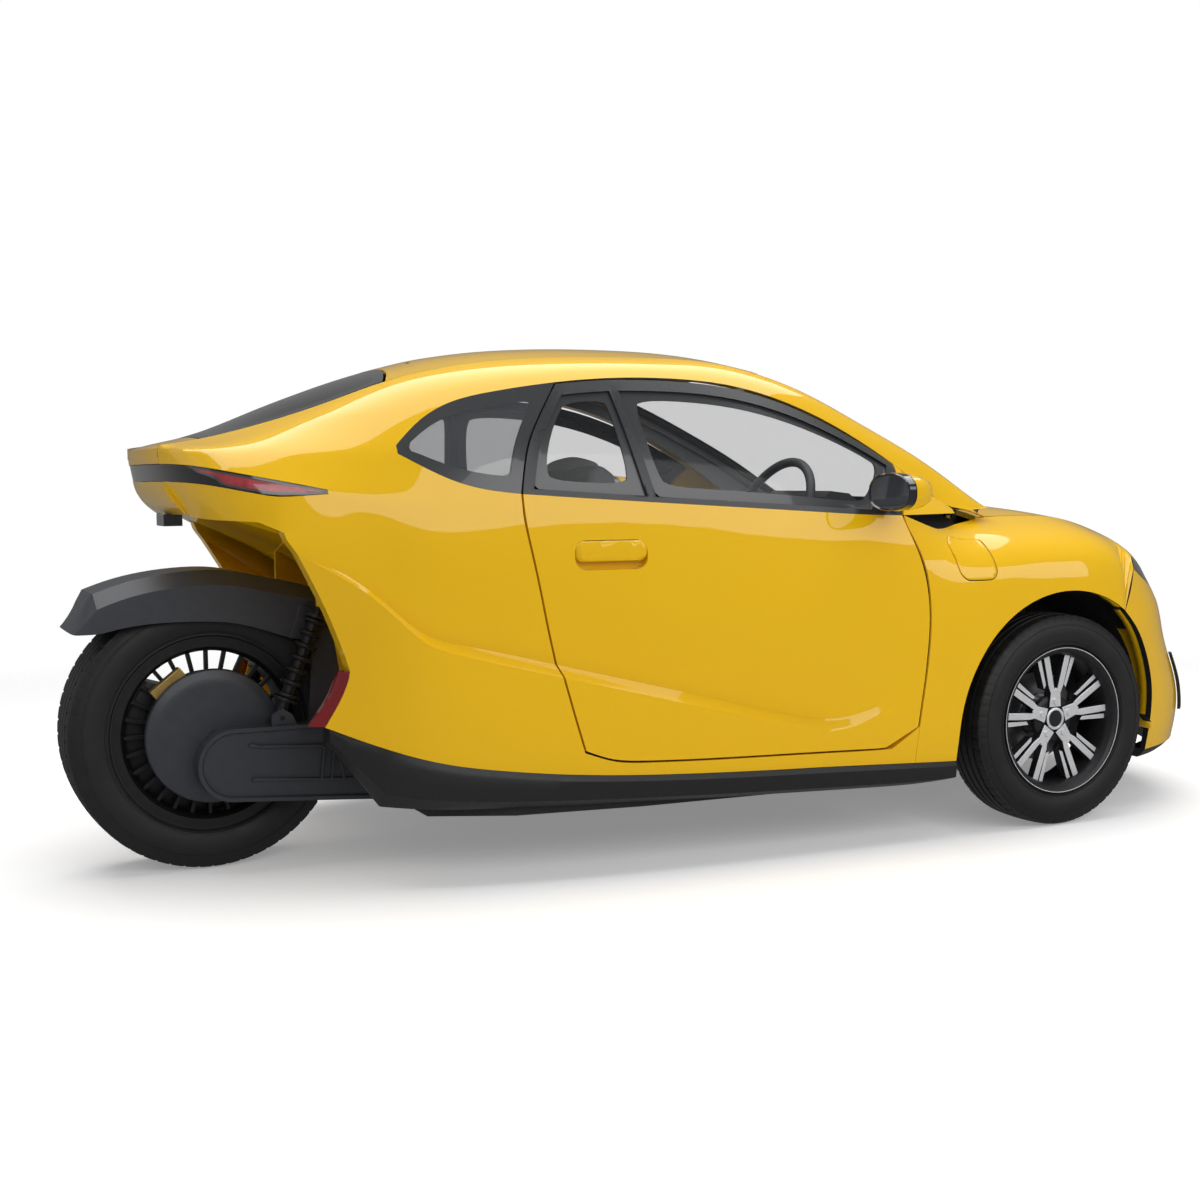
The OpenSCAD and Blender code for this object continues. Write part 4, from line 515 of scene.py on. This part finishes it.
# Width and radius of each row, and how far the outer rows stand from the panel
LINER_SHAPE = [(0.72, ARCH_R), (0.70, ARCH_R), (0.69, ARCH_R + 0.004), (0.60, ARCH_R + 0.005),
               (LINER_IN, ARCH_R + 0.005)]
LINER_LIP = {0.72: 0.0005, 0.70: -0.028, 0.69: -0.029}
OUTER_ROWS_Y, LIP_FROM_Y, LIP_WIDE = 0.685, 0.60, 0.04
wheel_mid = at(2100, 0, 280)
shells = []
for node in ("front_fender_left", "front_bumper"):
    m = merged(node)
    shells.append(BVHTree.FromBMesh(m))
    m.free()
for hand, side in (("right", -1), ("left", 1)):
    m = bmesh.new()
    start = radians(LINER_FROM)
    vs = [m.verts.new((wheel_mid.x + r*cos(start), y, wheel_mid.z + r*sin(start))) for y, r in LINER_SHAPE]
    es = [m.edges.new(p) for p in zip(vs, vs[1:])]
    bmesh.ops.spin(m, geom=vs + es, cent=wheel_mid, axis=(0, -1, 0), dvec=(0, 0, 0),
                   angle=radians(LINER_TURN), steps=66)
    # The three outer rows follow the inner side of the panel
    for v in m.verts:
        if v.co.y > OUTER_ROWS_Y:
            reaches = [edge_reach(shell, v.co.x, v.co.z) for shell in shells]
            reaches = [q for q in reaches if q]
            reach = min(reaches) if reaches else PANEL_MEAN_Y
            v.co.y = reach + LINER_LIP[round(v.co.y, 2)]
    m.normal_update()
    for f in m.faces:
        f.smooth = True
        widths = [v.co.y for v in f.verts]
        lip = f.calc_center_median().y > LIP_FROM_Y and max(widths) - min(widths) < LIP_WIDE
        f.material_index = 1 if lip else 0
    if side < 0:
        bmesh.ops.scale(m, verts=m.verts, vec=(1, -1, 1))
    bmesh.ops.recalc_face_normals(m, faces=m.faces)
    liner = piece(f"wheel_house_{hand}", m, under_black, yellow)
    wall = liner.modifiers.new("wall", "SOLIDIFY")
    wall.thickness, wall.offset = 0.002, 0
    hang(liner, "black_trim", body="body")

# ---- panes ----
# Toughened glass with a printed dark border. The doors and the windscreen have
# nearly clear glass, the quarter windows tinted glass, and the hatch is almost black.
side_glass = finish("side_glass", (0.05, 0.055, 0.06), 0.04, vary=0.02, grain=4, alpha=0.13, coat=1.0)
dark_glass = finish("dark_glass", (0.006, 0.007, 0.008), 0.05, vary=0.02, grain=4, alpha=0.93, coat=1.0)
border_print = finish("border_print", (0.040, 0.042, 0.046), 0.22, vary=0.04, grain=200, coat=0.6)


FACES_OUT = 0.35


def pane(name, node, outward, border, glass, slot="clear_glass"):
    """A pane with a printed border on both of its sides and a dark rim."""
    m = merged(node)
    m.normal_update()
    for sign in (1, -1):
        side = [f for f in m.faces if f.normal.dot(outward)*sign > FACES_OUT]
        if side:
            ring = bmesh.ops.inset_region(m, faces=side, thickness=border, use_boundary=True,
                                          use_even_offset=True)
            for f in ring["faces"]:
                f.material_index = 1
    for f in m.faces:
        if abs(f.normal.dot(outward)) < FACES_OUT:
            f.material_index = 1
    mark_edges(m)
    hang(rounded(piece(name, m, glass, border_print), 2), slot, node)


pane("windscreen_pane", "windscreen", UP, 0.03, side_glass)
pane("hatch_pane", "rear_hatch", UP, 0.022, dark_glass, slot="dark_gloss")
quarter_glass = finish("quarter_glass", (0.10, 0.105, 0.115), 0.04, vary=0.02, grain=4, alpha=0.42, coat=1.0)
pane("quarter_panes", "quarter_windows", LEFT, 0.026, quarter_glass)
for hand in ("right", "left"):
    pane(f"door_pane_{hand}", f"door_glass_{hand}", LEFT, 0.004, side_glass)

# ---- lamps ----
# A dark lamp band runs round the tail with a red light bar in each end and a red
# reflector low down. A slim glossy dark lamp cover sits at each corner of the nose.
lamp_black = finish("lamp_black", (0.012, 0.012, 0.014), 0.12, vary=0.05, grain=90, coat=1.0)
lamp_red = finish("lamp_red", (0.36, 0.035, 0.045), 0.18, vary=0.22, grain=60, coat=1.0)
reflector_red = finish("reflector_red", (0.20, 0.003, 0.006), 0.15, vary=0.15, grain=160, coat=1.0,
                       bump=0.3, fine=900)
lamp_smoke = finish("lamp_smoke", (0.085, 0.06, 0.065), 0.12, vary=0.08, grain=50, coat=1.0)

LENS_FROM = at(-75, 0, 870)
REFLECTOR_FROM = at(100, 0, 815)
LENS_EDGE, LENS_SMOKE = 0.003, 0.0045
m = merged("rear_lamps")
m.normal_update()
fronts = []
for f in m.faces:
    c = f.calc_center_median()
    f.material_index = 3 if c.z < REFLECTOR_FROM.z and c.x > REFLECTOR_FROM.x else 0
    if c.z > LENS_FROM.z and c.x > LENS_FROM.x and f.normal.y*c.y > 0 and abs(f.normal.y) > 0.55:
        fronts.append(f)
# Each lens has a black edge, a smoked band and the red bar in its middle
for width, mat in ((LENS_EDGE, 0), (LENS_SMOKE, 2)):
    ring = bmesh.ops.inset_region(m, faces=fronts, thickness=width, use_boundary=True, use_even_offset=False)
    for f in ring["faces"]:
        f.material_index = mat
for f in fronts:
    if f.is_valid:
        f.material_index = 1
mark_edges(m)
band = piece("rear_lamp_band", m, lamp_black, lamp_red, lamp_smoke, reflector_red)
rounded(band, 1)
hang(band, "lamp_red", "rear_lamps")
moulding("headlamp_covers", "headlamps", lamp_black, "dark_gloss", levels=2)

# ---- tyres ----
# Radial tyres: four grooves run round the tread, cross cuts open on the shoulders,
# and thin raised lines ring the side walls.
rubber = finish("tyre_rubber", (0.012, 0.012, 0.013), 0.55, vary=0.12, grain=25, bump=0.25, fine=700)


def spun(profile, steps, closed=True):
    """A turned piece: points of width and radius in metres, spun round the Y axis."""
    m = bmesh.new()
    vs = [m.verts.new((0, y, r)) for y, r in profile]
    pairs = list(zip(vs, vs[1:] + vs[:1] if closed else vs[1:]))
    es = [m.edges.new(p) for p in pairs]
    bmesh.ops.spin(m, geom=vs + es, cent=(0, 0, 0), axis=(0, 1, 0), dvec=(0, 0, 0), angle=2*pi, steps=steps,
                   use_merge=True)
    bmesh.ops.remove_doubles(m, verts=m.verts, dist=1e-5)
    bmesh.ops.recalc_face_normals(m, faces=m.faces)
    return m


# The side wall from the rim out to the shoulder: distance in from the widest line,
# and the share of the tyre's height, with two raised rings
SIDE_WALL = [(0.006, 0.09), (0.0065, 0.12), (0.0045, 0.13), (0.0035, 0.16), (0.005, 0.17), (0.0012, 0.30),
             (0, 0.45), (0.0012, 0.60), (0.0030, 0.66), (0.0018, 0.67), (0.0024, 0.70), (0.0042, 0.71),
             (0.008, 0.82), (0.014, 0.90)]
BEAD_DEEP, TREAD_CROWN, GROOVE_DEEP = 0.0136, 0.0022, 0.0065
CUT_DEEP, CUT_REACH, CUT_FROM_GROOVE = 0.0024, 0.016, 0.002


def tyre_mesh(r, w, rim, tread, grooves, steps, every):
    """A tyre with cross cuts on each nth step; tread is half the width of the flat part."""
    side = w/2
    tall = r - rim
    half = [(side - 0.014, rim - BEAD_DEEP), (side - 0.013, rim + 0.004)]
    half += [(side - inset, rim + share*tall) for inset, share in SIDE_WALL]
    half += [((side + tread)/2 - 0.004, rim + 0.955*tall), (tread, r - TREAD_CROWN)]
    cuts = []
    for c in sorted(grooves, reverse=True):
        for dy, dr in ((0.0038, 0), (0.003, GROOVE_DEEP), (-0.003, GROOVE_DEEP), (-0.0038, 0)):
            cuts.append((c + dy, r - TREAD_CROWN*abs((c + dy)/tread)**2 - dr))
    profile = half + cuts + [(-y, q) for y, q in reversed(half)]
    m = spun(profile, steps)
    for v in m.verts:
        q = hypot(v.co.x, v.co.z)
        k = round((atan2(v.co.x, v.co.z) % (2*pi))/(2*pi)*steps)
        if q > r - CUT_REACH and abs(v.co.y) > grooves[-1] + CUT_FROM_GROOVE and k % every == 0:
            shrink = (q - CUT_DEEP)/q
            v.co.x *= shrink
            v.co.z *= shrink
    for f in m.faces:
        f.smooth = True
    for e in m.edges:
        if len(e.link_faces) == 2 and e.calc_face_angle(0) > radians(38):
            e.smooth = False
    return m


FRONT_WHEEL = at(2100, 626, 280)
REAR_WHEEL = at(0, 0, 328)
for hand, side in (("right", -1), ("left", 1)):
    m = tyre_mesh(r=0.280, w=0.150, rim=0.192, tread=0.056, grooves=[-0.036, -0.0125, 0.0125, 0.036],
                  steps=420, every=7)
    bmesh.ops.translate(m, verts=m.verts, vec=(FRONT_WHEEL.x, side*FRONT_WHEEL.y, FRONT_WHEEL.z))
    hang(piece(f"tyre_{hand}", m, rubber), "tyre_rubber", f"front_tyre_{hand}")
m = tyre_mesh(r=0.328, w=0.215, rim=0.227, tread=0.083, grooves=[-0.054, -0.019, 0.019, 0.054],
              steps=480, every=8)
bmesh.ops.translate(m, verts=m.verts, vec=REAR_WHEEL)
hang(piece("tyre_rear", m, rubber), "tyre_rubber", "rear_tyre")

# ---- front wheels ----
# Cast alloy in black with faces turned bright: five stems that each part into two
# arms, a thin bright bar beside each arm, five nuts and a plain cap in the hub.
bright = finish("turned_alloy", (0.86, 0.87, 0.89), 0.42, metal=0.55, vary=0.06, grain=220, bump=0.05,
                fine=2200)
pocket = finish("pocket_black", (0.022, 0.022, 0.025), 0.42, metal=0.3, vary=0.08, grain=60, bump=0.08)
disc_steel = finish("disc_steel", (0.42, 0.42, 0.43), 0.32, metal=1.0, vary=0.12, grain=300)


def plate(m, outline, y0, y1, edge=0.0018):
    """A flat casting between two widths; its outline is in length and height."""
    vs = [m.verts.new((x, y0, z)) for x, z in outline]
    f = m.faces.new(vs)
    grown = bmesh.ops.extrude_face_region(m, geom=[f])
    moved = [v for v in grown["geom"] if isinstance(v, bmesh.types.BMVert)]
    bmesh.ops.translate(m, verts=moved, vec=(0, y1 - y0, 0))
    mine = set(vs + moved)
    faces = [f for f in m.faces if all(v in mine for v in f.verts)]
    bmesh.ops.recalc_face_normals(m, faces=faces)
    edges = [e for e in m.edges if all(v in mine for v in e.verts)]
    made = bmesh.ops.bevel(m, geom=edges, offset=edge, segments=2, affect="EDGES", profile=0.5, material=-1)
    for g in made["faces"]:
        g.smooth = True


def outline_at(points):
    """An outline given in millimetres from the rear axle, as plate() takes it."""
    return [(at(x, 0, z).x, at(x, 0, z).z) for x, z in points]


# Turned shapes, as width and radius: the rim with its flanges, the hub with its cap
# and the disc with a gap in its edge
RIM_SHAPE = [(-0.0688, 0.1902), (-0.0690, 0.192), (-0.0625, 0.1915), (-0.061, 0.179), (0.061, 0.179),
             (0.0625, 0.1915), (0.069, 0.192), (0.069, 0.184), (0.058, 0.174), (0.0, 0.169), (-0.040, 0.170),
             (-0.052, 0.173), (-0.057, 0.1775), (-0.0605, 0.1785), (-0.064, 0.183), (-0.0675, 0.1865)]
HUB_SHAPE = [(-0.012, 0), (-0.012, 0.062), (-0.026, 0.062), (-0.031, 0.056), (-0.032, 0.036),
             (-0.030, 0.033), (-0.030, 0.030), (-0.0385, 0.0295), (-0.0400, 0.0275), (-0.0405, 0.0235),
             (-0.0385, 0.022), (-0.0385, 0)]
DISC_SHAPE = [(0.032, 0.060), (0.032, 0.118), (0.036, 0.118), (0.036, 0.112), (0.040, 0.112),
              (0.040, 0.118), (0.044, 0.118), (0.044, 0.060), (0.044, 0.045), (-0.012, 0.045),
              (-0.012, 0.055), (0.028, 0.058)]
# One spoke: its stem, and the outlines of one arm, one bar and the web between them
STEM = [(0.030, -0.0200), (0.070, -0.0165), (0.084, 0), (0.070, 0.0165), (0.030, 0.0200)]
ARM = [(0.066, 0.0012), (0.1830, 0.0300), (0.1800, 0.0490), (0.0860, 0.0250), (0.066, 0.0160)]
BAR = [(0.0900, 0.0300), (0.1780, 0.0560), (0.1740, 0.0690), (0.0800, 0.0370)]
WEB = [(0.070, 0.006), (0.174, 0.040), (0.169, 0.068), (0.080, 0.036)]
SPOKES = 5
FACE_Y, BAR_SET_BACK = -0.043, 0.004
STEM_Y, ARM_Y, BAR_Y, WEB_Y = -0.016, -0.020, -0.026, -0.012
DISH_DEEP, DISH_R = 0.007, 0.17
# Turned bright: the lip of the rim, the faces of the arms and the ring of the cap
LIP_Y, LIP_R = -0.0680, 0.1890
ARMS_Y, ARMS_R = -0.0315, (0.035, 0.176)
CAP_Y, CAP_R = -0.037, (0.0215, 0.0300)
NUT_CIRCLE, NUT_Y = 0.047, -0.036


def front_wheel():
    m = spun(RIM_SHAPE, 120)
    for f in m.faces:
        f.smooth = True
        c = f.calc_center_median()
        if c.y < LIP_Y and hypot(c.x, c.z) > LIP_R:
            f.material_index = 1
    for k in range(SPOKES):
        before = set(m.verts)
        plate(m, STEM, STEM_Y, FACE_Y)
        for s in (-1, 1):
            plate(m, [(x, s*z) for x, z in ARM], ARM_Y, FACE_Y)
            plate(m, [(x, s*z) for x, z in BAR], BAR_Y, FACE_Y + BAR_SET_BACK, edge=0.0012)
            plate(m, [(x, s*z) for x, z in WEB], WEB_Y, BAR_Y, edge=0.001)
        fresh = [v for v in m.verts if v not in before]
        # The arms dish inwards towards the hub
        for v in fresh:
            v.co.y += DISH_DEEP*max(1 - v.co.x/DISH_R, 0)
        turn = Matrix.Rotation(-radians(90 + 72*k), 3, "Y")
        bmesh.ops.rotate(m, verts=fresh, cent=(0, 0, 0), matrix=turn)
    m.normal_update()
    for f in m.faces:
        c = f.calc_center_median()
        if f.normal.y < -0.9 and c.y < ARMS_Y and ARMS_R[0] < hypot(c.x, c.z) < ARMS_R[1]:
            f.material_index = 1
    hub = spun(HUB_SHAPE, 64, closed=False)
    for f in hub.faces:
        f.smooth = True
        c = f.calc_center_median()
        if CAP_R[0] < hypot(c.x, c.z) < CAP_R[1] and c.y < CAP_Y:
            f.material_index = 1
    spare = bpy.data.meshes.new("hub_part")
    hub.to_mesh(spare)
    hub.free()
    m.from_mesh(spare)
    bpy.data.meshes.remove(spare)
    # One nut between each two spokes
    for k in range(SPOKES):
        a = radians(90 + 36 + 72*k)
        nut = bmesh.ops.create_cone(m, cap_ends=True, segments=6, radius1=0.0095, radius2=0.0085, depth=0.016)
        bmesh.ops.rotate(m, verts=nut["verts"], cent=(0, 0, 0), matrix=Matrix.Rotation(radians(90), 3, "X"))
        bmesh.ops.translate(m, verts=nut["verts"], vec=(NUT_CIRCLE*cos(a), NUT_Y, -NUT_CIRCLE*sin(a)))
        for f in {f for v in nut["verts"] for f in v.link_faces}:
            f.material_index = 1
    for e in m.edges:
        if len(e.link_faces) == 2 and e.calc_face_angle(0) > radians(40):
            e.smooth = False
    return m


for hand, side in (("right", -1), ("left", 1)):
    wheel, disc = front_wheel(), spun(DISC_SHAPE, 96)
    for shape in (wheel, disc):
        if side > 0:
            bmesh.ops.scale(shape, verts=shape.verts, vec=(1, -1, 1))
            bmesh.ops.reverse_faces(shape, faces=shape.faces)
        bmesh.ops.translate(shape, verts=shape.verts, vec=(FRONT_WHEEL.x, side*FRONT_WHEEL.y, FRONT_WHEEL.z))
    hang(piece(f"alloy_{hand}", wheel, pocket, bright), "alloy", f"front_rim_{hand}")
    hang(piece(f"brake_disc_{hand}", disc, disc_steel), "alloy", body=f"front_wheel_{hand}")

# ---- running gear ----
# Cast and pressed parts: knuckles, suspension, rear rim, brake and its cover, the
# mudguard with its straps, and the pair of shocks.
cast = finish("cast_grey", (0.085, 0.09, 0.10), 0.5, metal=0.35, vary=0.10, grain=70, bump=0.3, fine=900)
satin_black = finish("satin_black", (0.014, 0.014, 0.016), 0.36, metal=0.2, vary=0.10, grain=60, bump=0.08)
gold = finish("gold_caliper", (0.50, 0.33, 0.11), 0.38, metal=0.8, vary=0.12, grain=80, bump=0.2)
cover_grey = finish("cover_grey", (0.042, 0.047, 0.057), 0.36, metal=0.1, vary=0.05, grain=50, bump=0.12,
                    fine=1500)
guard_grey = finish("guard_grey", (0.046, 0.050, 0.060), 0.34, vary=0.06, grain=60, bump=0.3, fine=1100)
for hand in ("right", "left"):
    moulding(f"knuckle_casting_{hand}", f"knuckle_{hand}", cast, "cast_grey", levels=0)
moulding("suspension_arms", "front_suspension", satin_black, "chassis_steel", levels=0)
moulding("rear_rim_casting", "rear_rim", satin_black, "black_alloy", levels=0, edge=0.001)
moulding("caliper_gold", "rear_caliper", gold, "gold_caliper", levels=0, edge=0.004)
moulding("drive_disc_cover", "drive_cover", cover_grey, "cast_grey", levels=0, edge=0.001)
# The mudguard's crown line and lower edge, as length and height in millimetres
GUARD_ROWS = [((-311, 582), (-300, 580)), ((-286, 626), (-276, 580)), ((-258, 671), (-250, 580)),
              ((-190, 696), (-195, 594)), ((-95, 714), (-110, 602)), ((8, 720), (0, 599)),
              ((72, 714), (60, 593)), ((135, 697), (120, 575)), ((190, 687), (165, 558)),
              ((250, 671), (204, 546)), ((300, 654), (260, 540)), ((333, 604), (305, 534)),
              ((337, 530), (330, 528))]
GUARD_HALF, GUARD_WALL, SLANT_WIDE, SLANT_DROP = 0.1275, 0.007, 0.040, 0.034
STRAP = [(217, 630), (300, 600), (330, 560), (329, 530), (262, 539), (190, 549)]
STRAP_Y = (0.1268, 0.1315)


def guard_mesh():
    """The mudguard: side walls, a slanted edge along each side, and a crown."""
    m = bmesh.new()
    loops = []
    for (xt, zt), (xl, zl) in GUARD_ROWS:
        top, low = at(xt, 0, zt), at(xl, 0, zl)
        drop = min(SLANT_DROP, (top - low).length*0.45)
        inward = (REAR_WHEEL - top).normalized()
        down = (low - top).normalized()
        for shell, t in ((0, 0.0), (1, GUARD_WALL)):
            crown = top + inward*t
            shoulder = top + down*drop
            bottom = low if (low - top).length > 0.004 else low + down*0.004
            w, n = GUARD_HALF - t, GUARD_HALF - t - SLANT_WIDE
            row = [(bottom, -w), (shoulder, -w), (crown, -n), (crown, n), (shoulder, w), (bottom, w)]
            loops.append((shell, [m.verts.new((p.x, y, p.z)) for p, y in row]))
    outer = [r for shell, r in loops if shell == 0]
    inner = [r for shell, r in loops if shell == 1]
    for rows in (outer, inner):
        for a, b in zip(rows, rows[1:]):
            for k in range(5):
                m.faces.new((a[k], a[k + 1], b[k + 1], b[k]))
    for a, b, c, d in zip(outer, outer[1:], inner, inner[1:]):
        m.faces.new((a[0], b[0], d[0], c[0]))
        m.faces.new((a[5], b[5], d[5], c[5]))
    for a, c in ((outer[0], inner[0]), (outer[-1], inner[-1])):
        for k in range(5):
            m.faces.new((a[k], a[k + 1], c[k + 1], c[k]))
    bmesh.ops.recalc_face_normals(m, faces=m.faces)
    mark_edges(m, soft_from=14, hard_from=30)
    return m


hang(rounded(piece("rear_guard", guard_mesh(), guard_grey), 2), "grey_guard", "rear_fender")
m = bmesh.new()
for side in (-1, 1):
    plate(m, outline_at(STRAP), side*STRAP_Y[0], side*STRAP_Y[1], edge=0.0015)
hang(piece("guard_straps", m, guard_grey), "grey_guard", body="body")
moulding("shock_pair", "rear_shocks", satin_black, "chassis_steel", levels=0, edge=0.001)

# ---- motor housing ----
# A fixed black drum inside the rear rim, with a slightly tilted flat on its top.
HOUSING_SHAPE = [(0.010, 0.060), (-0.046, 0.060), (-0.050, 0.070), (-0.050, 0.176), (-0.046, 0.187),
                 (0.060, 0.187), (0.064, 0.180), (0.064, 0.060)]
HOUSING_AT = REAR_WHEEL + Vector((-0.006, 0, -0.010))
FLAT_AT, FLAT_NORMAL = REAR_WHEEL + Vector((0, 0, 0.086)), (0.30, 0, 1)
m = spun(HOUSING_SHAPE, 96)
bmesh.ops.translate(m, verts=m.verts, vec=HOUSING_AT)
whole = list(m.verts) + list(m.edges) + list(m.faces)
bmesh.ops.bisect_plane(m, geom=whole, plane_co=FLAT_AT, plane_no=FLAT_NORMAL, clear_outer=True)
bmesh.ops.holes_fill(m, edges=[e for e in m.edges if e.is_boundary], sides=0)
bmesh.ops.recalc_face_normals(m, faces=m.faces)
mark_edges(m, hard_from=30)
hang(piece("motor_housing", m, satin_black), "chassis_steel", body="body")

# ---- swing arm ----
# A casting with a raised rim round its outer side and thin ribs in the recess.
ARM_SIDE_Y, ARM_RIM, ARM_SLOPE, ARM_DEEP = -0.2045, 0.009, 0.004, 0.008
RIBS = [[(100, 300), (330, 286), (330, 291), (98, 306)], [(72, 224), (330, 204), (330, 209), (74, 230)],
        [(66, 306), (70, 312), (98, 306), (100, 300)], [(236, 214), (243, 214), (252, 296), (245, 296)],
        [(262, 212), (268, 212), (276, 294), (270, 294)], [(292, 210), (298, 210), (282, 292), (276, 292)],
        [(318, 208), (323, 208), (306, 290), (300, 290)]]
RIB_Y = (-0.2059, -0.1985)
m = merged("swing_arm")
m.normal_update()
outer_side = [f for f in m.faces if f.normal.y < -0.98 and f.calc_center_median().y < ARM_SIDE_Y]
for width, deep in ((ARM_RIM, 0), (ARM_SLOPE, ARM_DEEP)):
    bmesh.ops.inset_region(m, faces=outer_side, thickness=width, depth=-deep, use_boundary=True,
                           use_even_offset=True)
mark_edges(m, hard_from=30)
hang(piece("swing_arm_casting", m, cover_grey), "cast_grey", "swing_arm")
m = bmesh.new()
for outline in RIBS:
    plate(m, outline_at(outline), RIB_Y[0], RIB_Y[1], edge=0.0012)
hang(piece("swing_arm_ribs", m, cover_grey), "cast_grey", body="body")

# ---- inside ----
# One seat with three padded cushions in pale cloth, and a steering wheel with a
# thin rim. The dashboard is with the black trim.
cloth = finish("seat_cloth", (0.58, 0.59, 0.61), 0.85, vary=0.10, grain=500, bump=0.9, fine=1600, sheen=0.3)
leather = finish("wheel_leather", (0.05, 0.052, 0.058), 0.5, vary=0.08, grain=120, bump=0.5, fine=900)
moulding("wheel_for_steering", "steering_wheel", leather, "black_trim", levels=0, edge=0.003)
seat_shell = finish("seat_shell", (0.30, 0.31, 0.33), 0.6, vary=0.08, grain=80, bump=0.4, fine=900)
moulding("seat_body", "driver_seat", seat_shell, "seat_cloth", levels=0, edge=0.02)
RIM_SHARE, CROWN_SHARE, PULLED_IN = 0.55, 0.45, 0.04
SEAM_DEEP, SEAM_HALF, SEAM_END = 0.010, 0.07, 0.86


def pad(name, place, tilt, long, wide, thick, arc, seams):
    """A crowned pad: long, wide and thick in metres, its far end rounded by arc."""
    m = bmesh.new()
    bmesh.ops.create_cube(m, size=1)
    bmesh.ops.subdivide_edges(m, edges=m.edges, cuts=15, use_grid_fill=True)
    for v in m.verts:
        x, y, z = v.co*2
        edge = max(abs(x), abs(y))
        crown = (1 - abs(x)**4)*(1 - abs(y)**4)
        pull = 1 - PULLED_IN*abs(z)*edge**6
        end = 1 - arc*max(x, 0)**3*y*y
        sewn = z > 0.5 and abs(x) < SEAM_END
        groove = sum(SEAM_DEEP*max(1 - abs(y - q)/SEAM_HALF, 0) for q in seams if sewn)
        height = thick/2*z*(RIM_SHARE + CROWN_SHARE*crown) - groove
        v.co = Vector((long/2*x*pull*end, wide/2*y*pull, height))
    bmesh.ops.rotate(m, verts=m.verts, cent=(0, 0, 0), matrix=Matrix.Rotation(-radians(tilt), 3, "Y"))
    bmesh.ops.translate(m, verts=m.verts, vec=place)
    for f in m.faces:
        f.smooth = True
    o = rounded(piece(name, m, cloth), 1)
    hang(o, "seat_cloth", body="body")


pad("seat_cushion", at(1345, 0, 372), tilt=-6, long=0.43, wide=0.44, thick=0.085, arc=0.10,
    seams=(-0.55, 0.55))
pad("seat_back", at(1122, 0, 600), tilt=107, long=0.52, wide=0.44, thick=0.085, arc=0.22,
    seams=(-0.55, 0.55))
pad("seat_headrest", at(1016, 0, 890), tilt=112, long=0.19, wide=0.30, thick=0.090, arc=0.25,
    seams=())
# The floor pan, the frame of the front bay and the battery case keep their own shapes
steel = finish("chassis_steel", (0.03, 0.03, 0.033), 0.55, metal=0.3, vary=0.12, grain=30, bump=0.2)
moulding("floor_pressing", "floor_pan", steel, "chassis_steel", levels=0)
moulding("bay_frame", "front_subframe", steel, "chassis_steel", levels=0)
battery_metal = finish("battery_case", (0.40, 0.41, 0.43), 0.45, metal=0.7, vary=0.08, grain=90, bump=0.1)
moulding("battery_case", "battery_pack", battery_metal, "battery_case", levels=0, edge=0.006)

# ---- door mirrors ----
# A painted shell on a short foot, with a black edge and the glass facing back.
mirror_glass = finish("mirror_glass", (0.75, 0.77, 0.80), 0.04, metal=1.0, vary=0.02, grain=5)
# Rings from the front of the shell to the glass: place along X, half width, half height
SHELL_ROWS = [(0.066, 0.026, 0.016), (0.060, 0.043, 0.026), (0.048, 0.060, 0.036), (0.030, 0.073, 0.043),
              (0.008, 0.080, 0.047), (-0.014, 0.083, 0.0485), (-0.0145, 0.081, 0.047),
              (-0.017, 0.0835, 0.049), (-0.034, 0.0825, 0.048), (-0.0365, 0.080, 0.046),
              (-0.033, 0.0765, 0.0425)]
SHELL_STEPS, SHELL_TIP, GLASS_X = 48, 0.070, -0.033
PAINTED_ROWS, SMOOTH_ROWS = 5, 4
SQUARED, LOW_SHARE = 0.82, -0.88


def squared(size, c, low=-1):
    """A circle's coordinate c drawn out towards the corner of a rounded square."""
    return size*abs(c)**SQUARED*(1 if c > 0 else low)


for hand, side in (("right", -1), ("left", 1)):
    m = bmesh.new()
    rings = []
    for x, wide, tall in SHELL_ROWS:
        ring = []
        for k in range(SHELL_STEPS):
            a = 2*pi*k/SHELL_STEPS
            ring.append(m.verts.new((x, squared(wide, cos(a)), squared(tall, sin(a), LOW_SHARE))))
        rings.append(ring)
    for n, (near, far_ring) in enumerate(zip(rings, rings[1:])):
        for k in range(SHELL_STEPS):
            after = (k + 1) % SHELL_STEPS
            f = m.faces.new((near[k], near[after], far_ring[after], far_ring[k]))
            f.material_index = 0 if n < PAINTED_ROWS else 1
            f.smooth = n < SMOOTH_ROWS
    for ring, x, mat in ((rings[0], SHELL_TIP, 0), (rings[-1], GLASS_X, 2)):
        tip = m.verts.new((x, 0, 0))
        for k in range(SHELL_STEPS):
            f = m.faces.new((ring[k], ring[(k + 1) % SHELL_STEPS], tip))
            f.material_index = mat
            f.smooth = mat == 0
    bmesh.ops.recalc_face_normals(m, faces=m.faces)
    # Foot from the shell down to the corner of the window frame
    foot = bmesh.ops.create_cone(m, cap_ends=True, segments=24, radius1=0.016, radius2=0.011, depth=0.075)
    leaning = Matrix.Rotation(radians(side*68), 3, "X")
    bmesh.ops.rotate(m, verts=foot["verts"], cent=(0, 0, 0), matrix=leaning)
    bmesh.ops.translate(m, verts=foot["verts"], vec=(0.030, -side*0.098, -0.022))
    for f in {f for v in foot["verts"] for f in v.link_faces}:
        f.material_index = 1
        f.smooth = len(f.verts) == 4
    bmesh.ops.translate(m, verts=m.verts, vec=at(1516, side*768, 884))
    o = piece(f"mirror_shell_{hand}", m, yellow, lamp_black, mirror_glass)
    hang(o, "body_paint", f"mirror_{hand}")
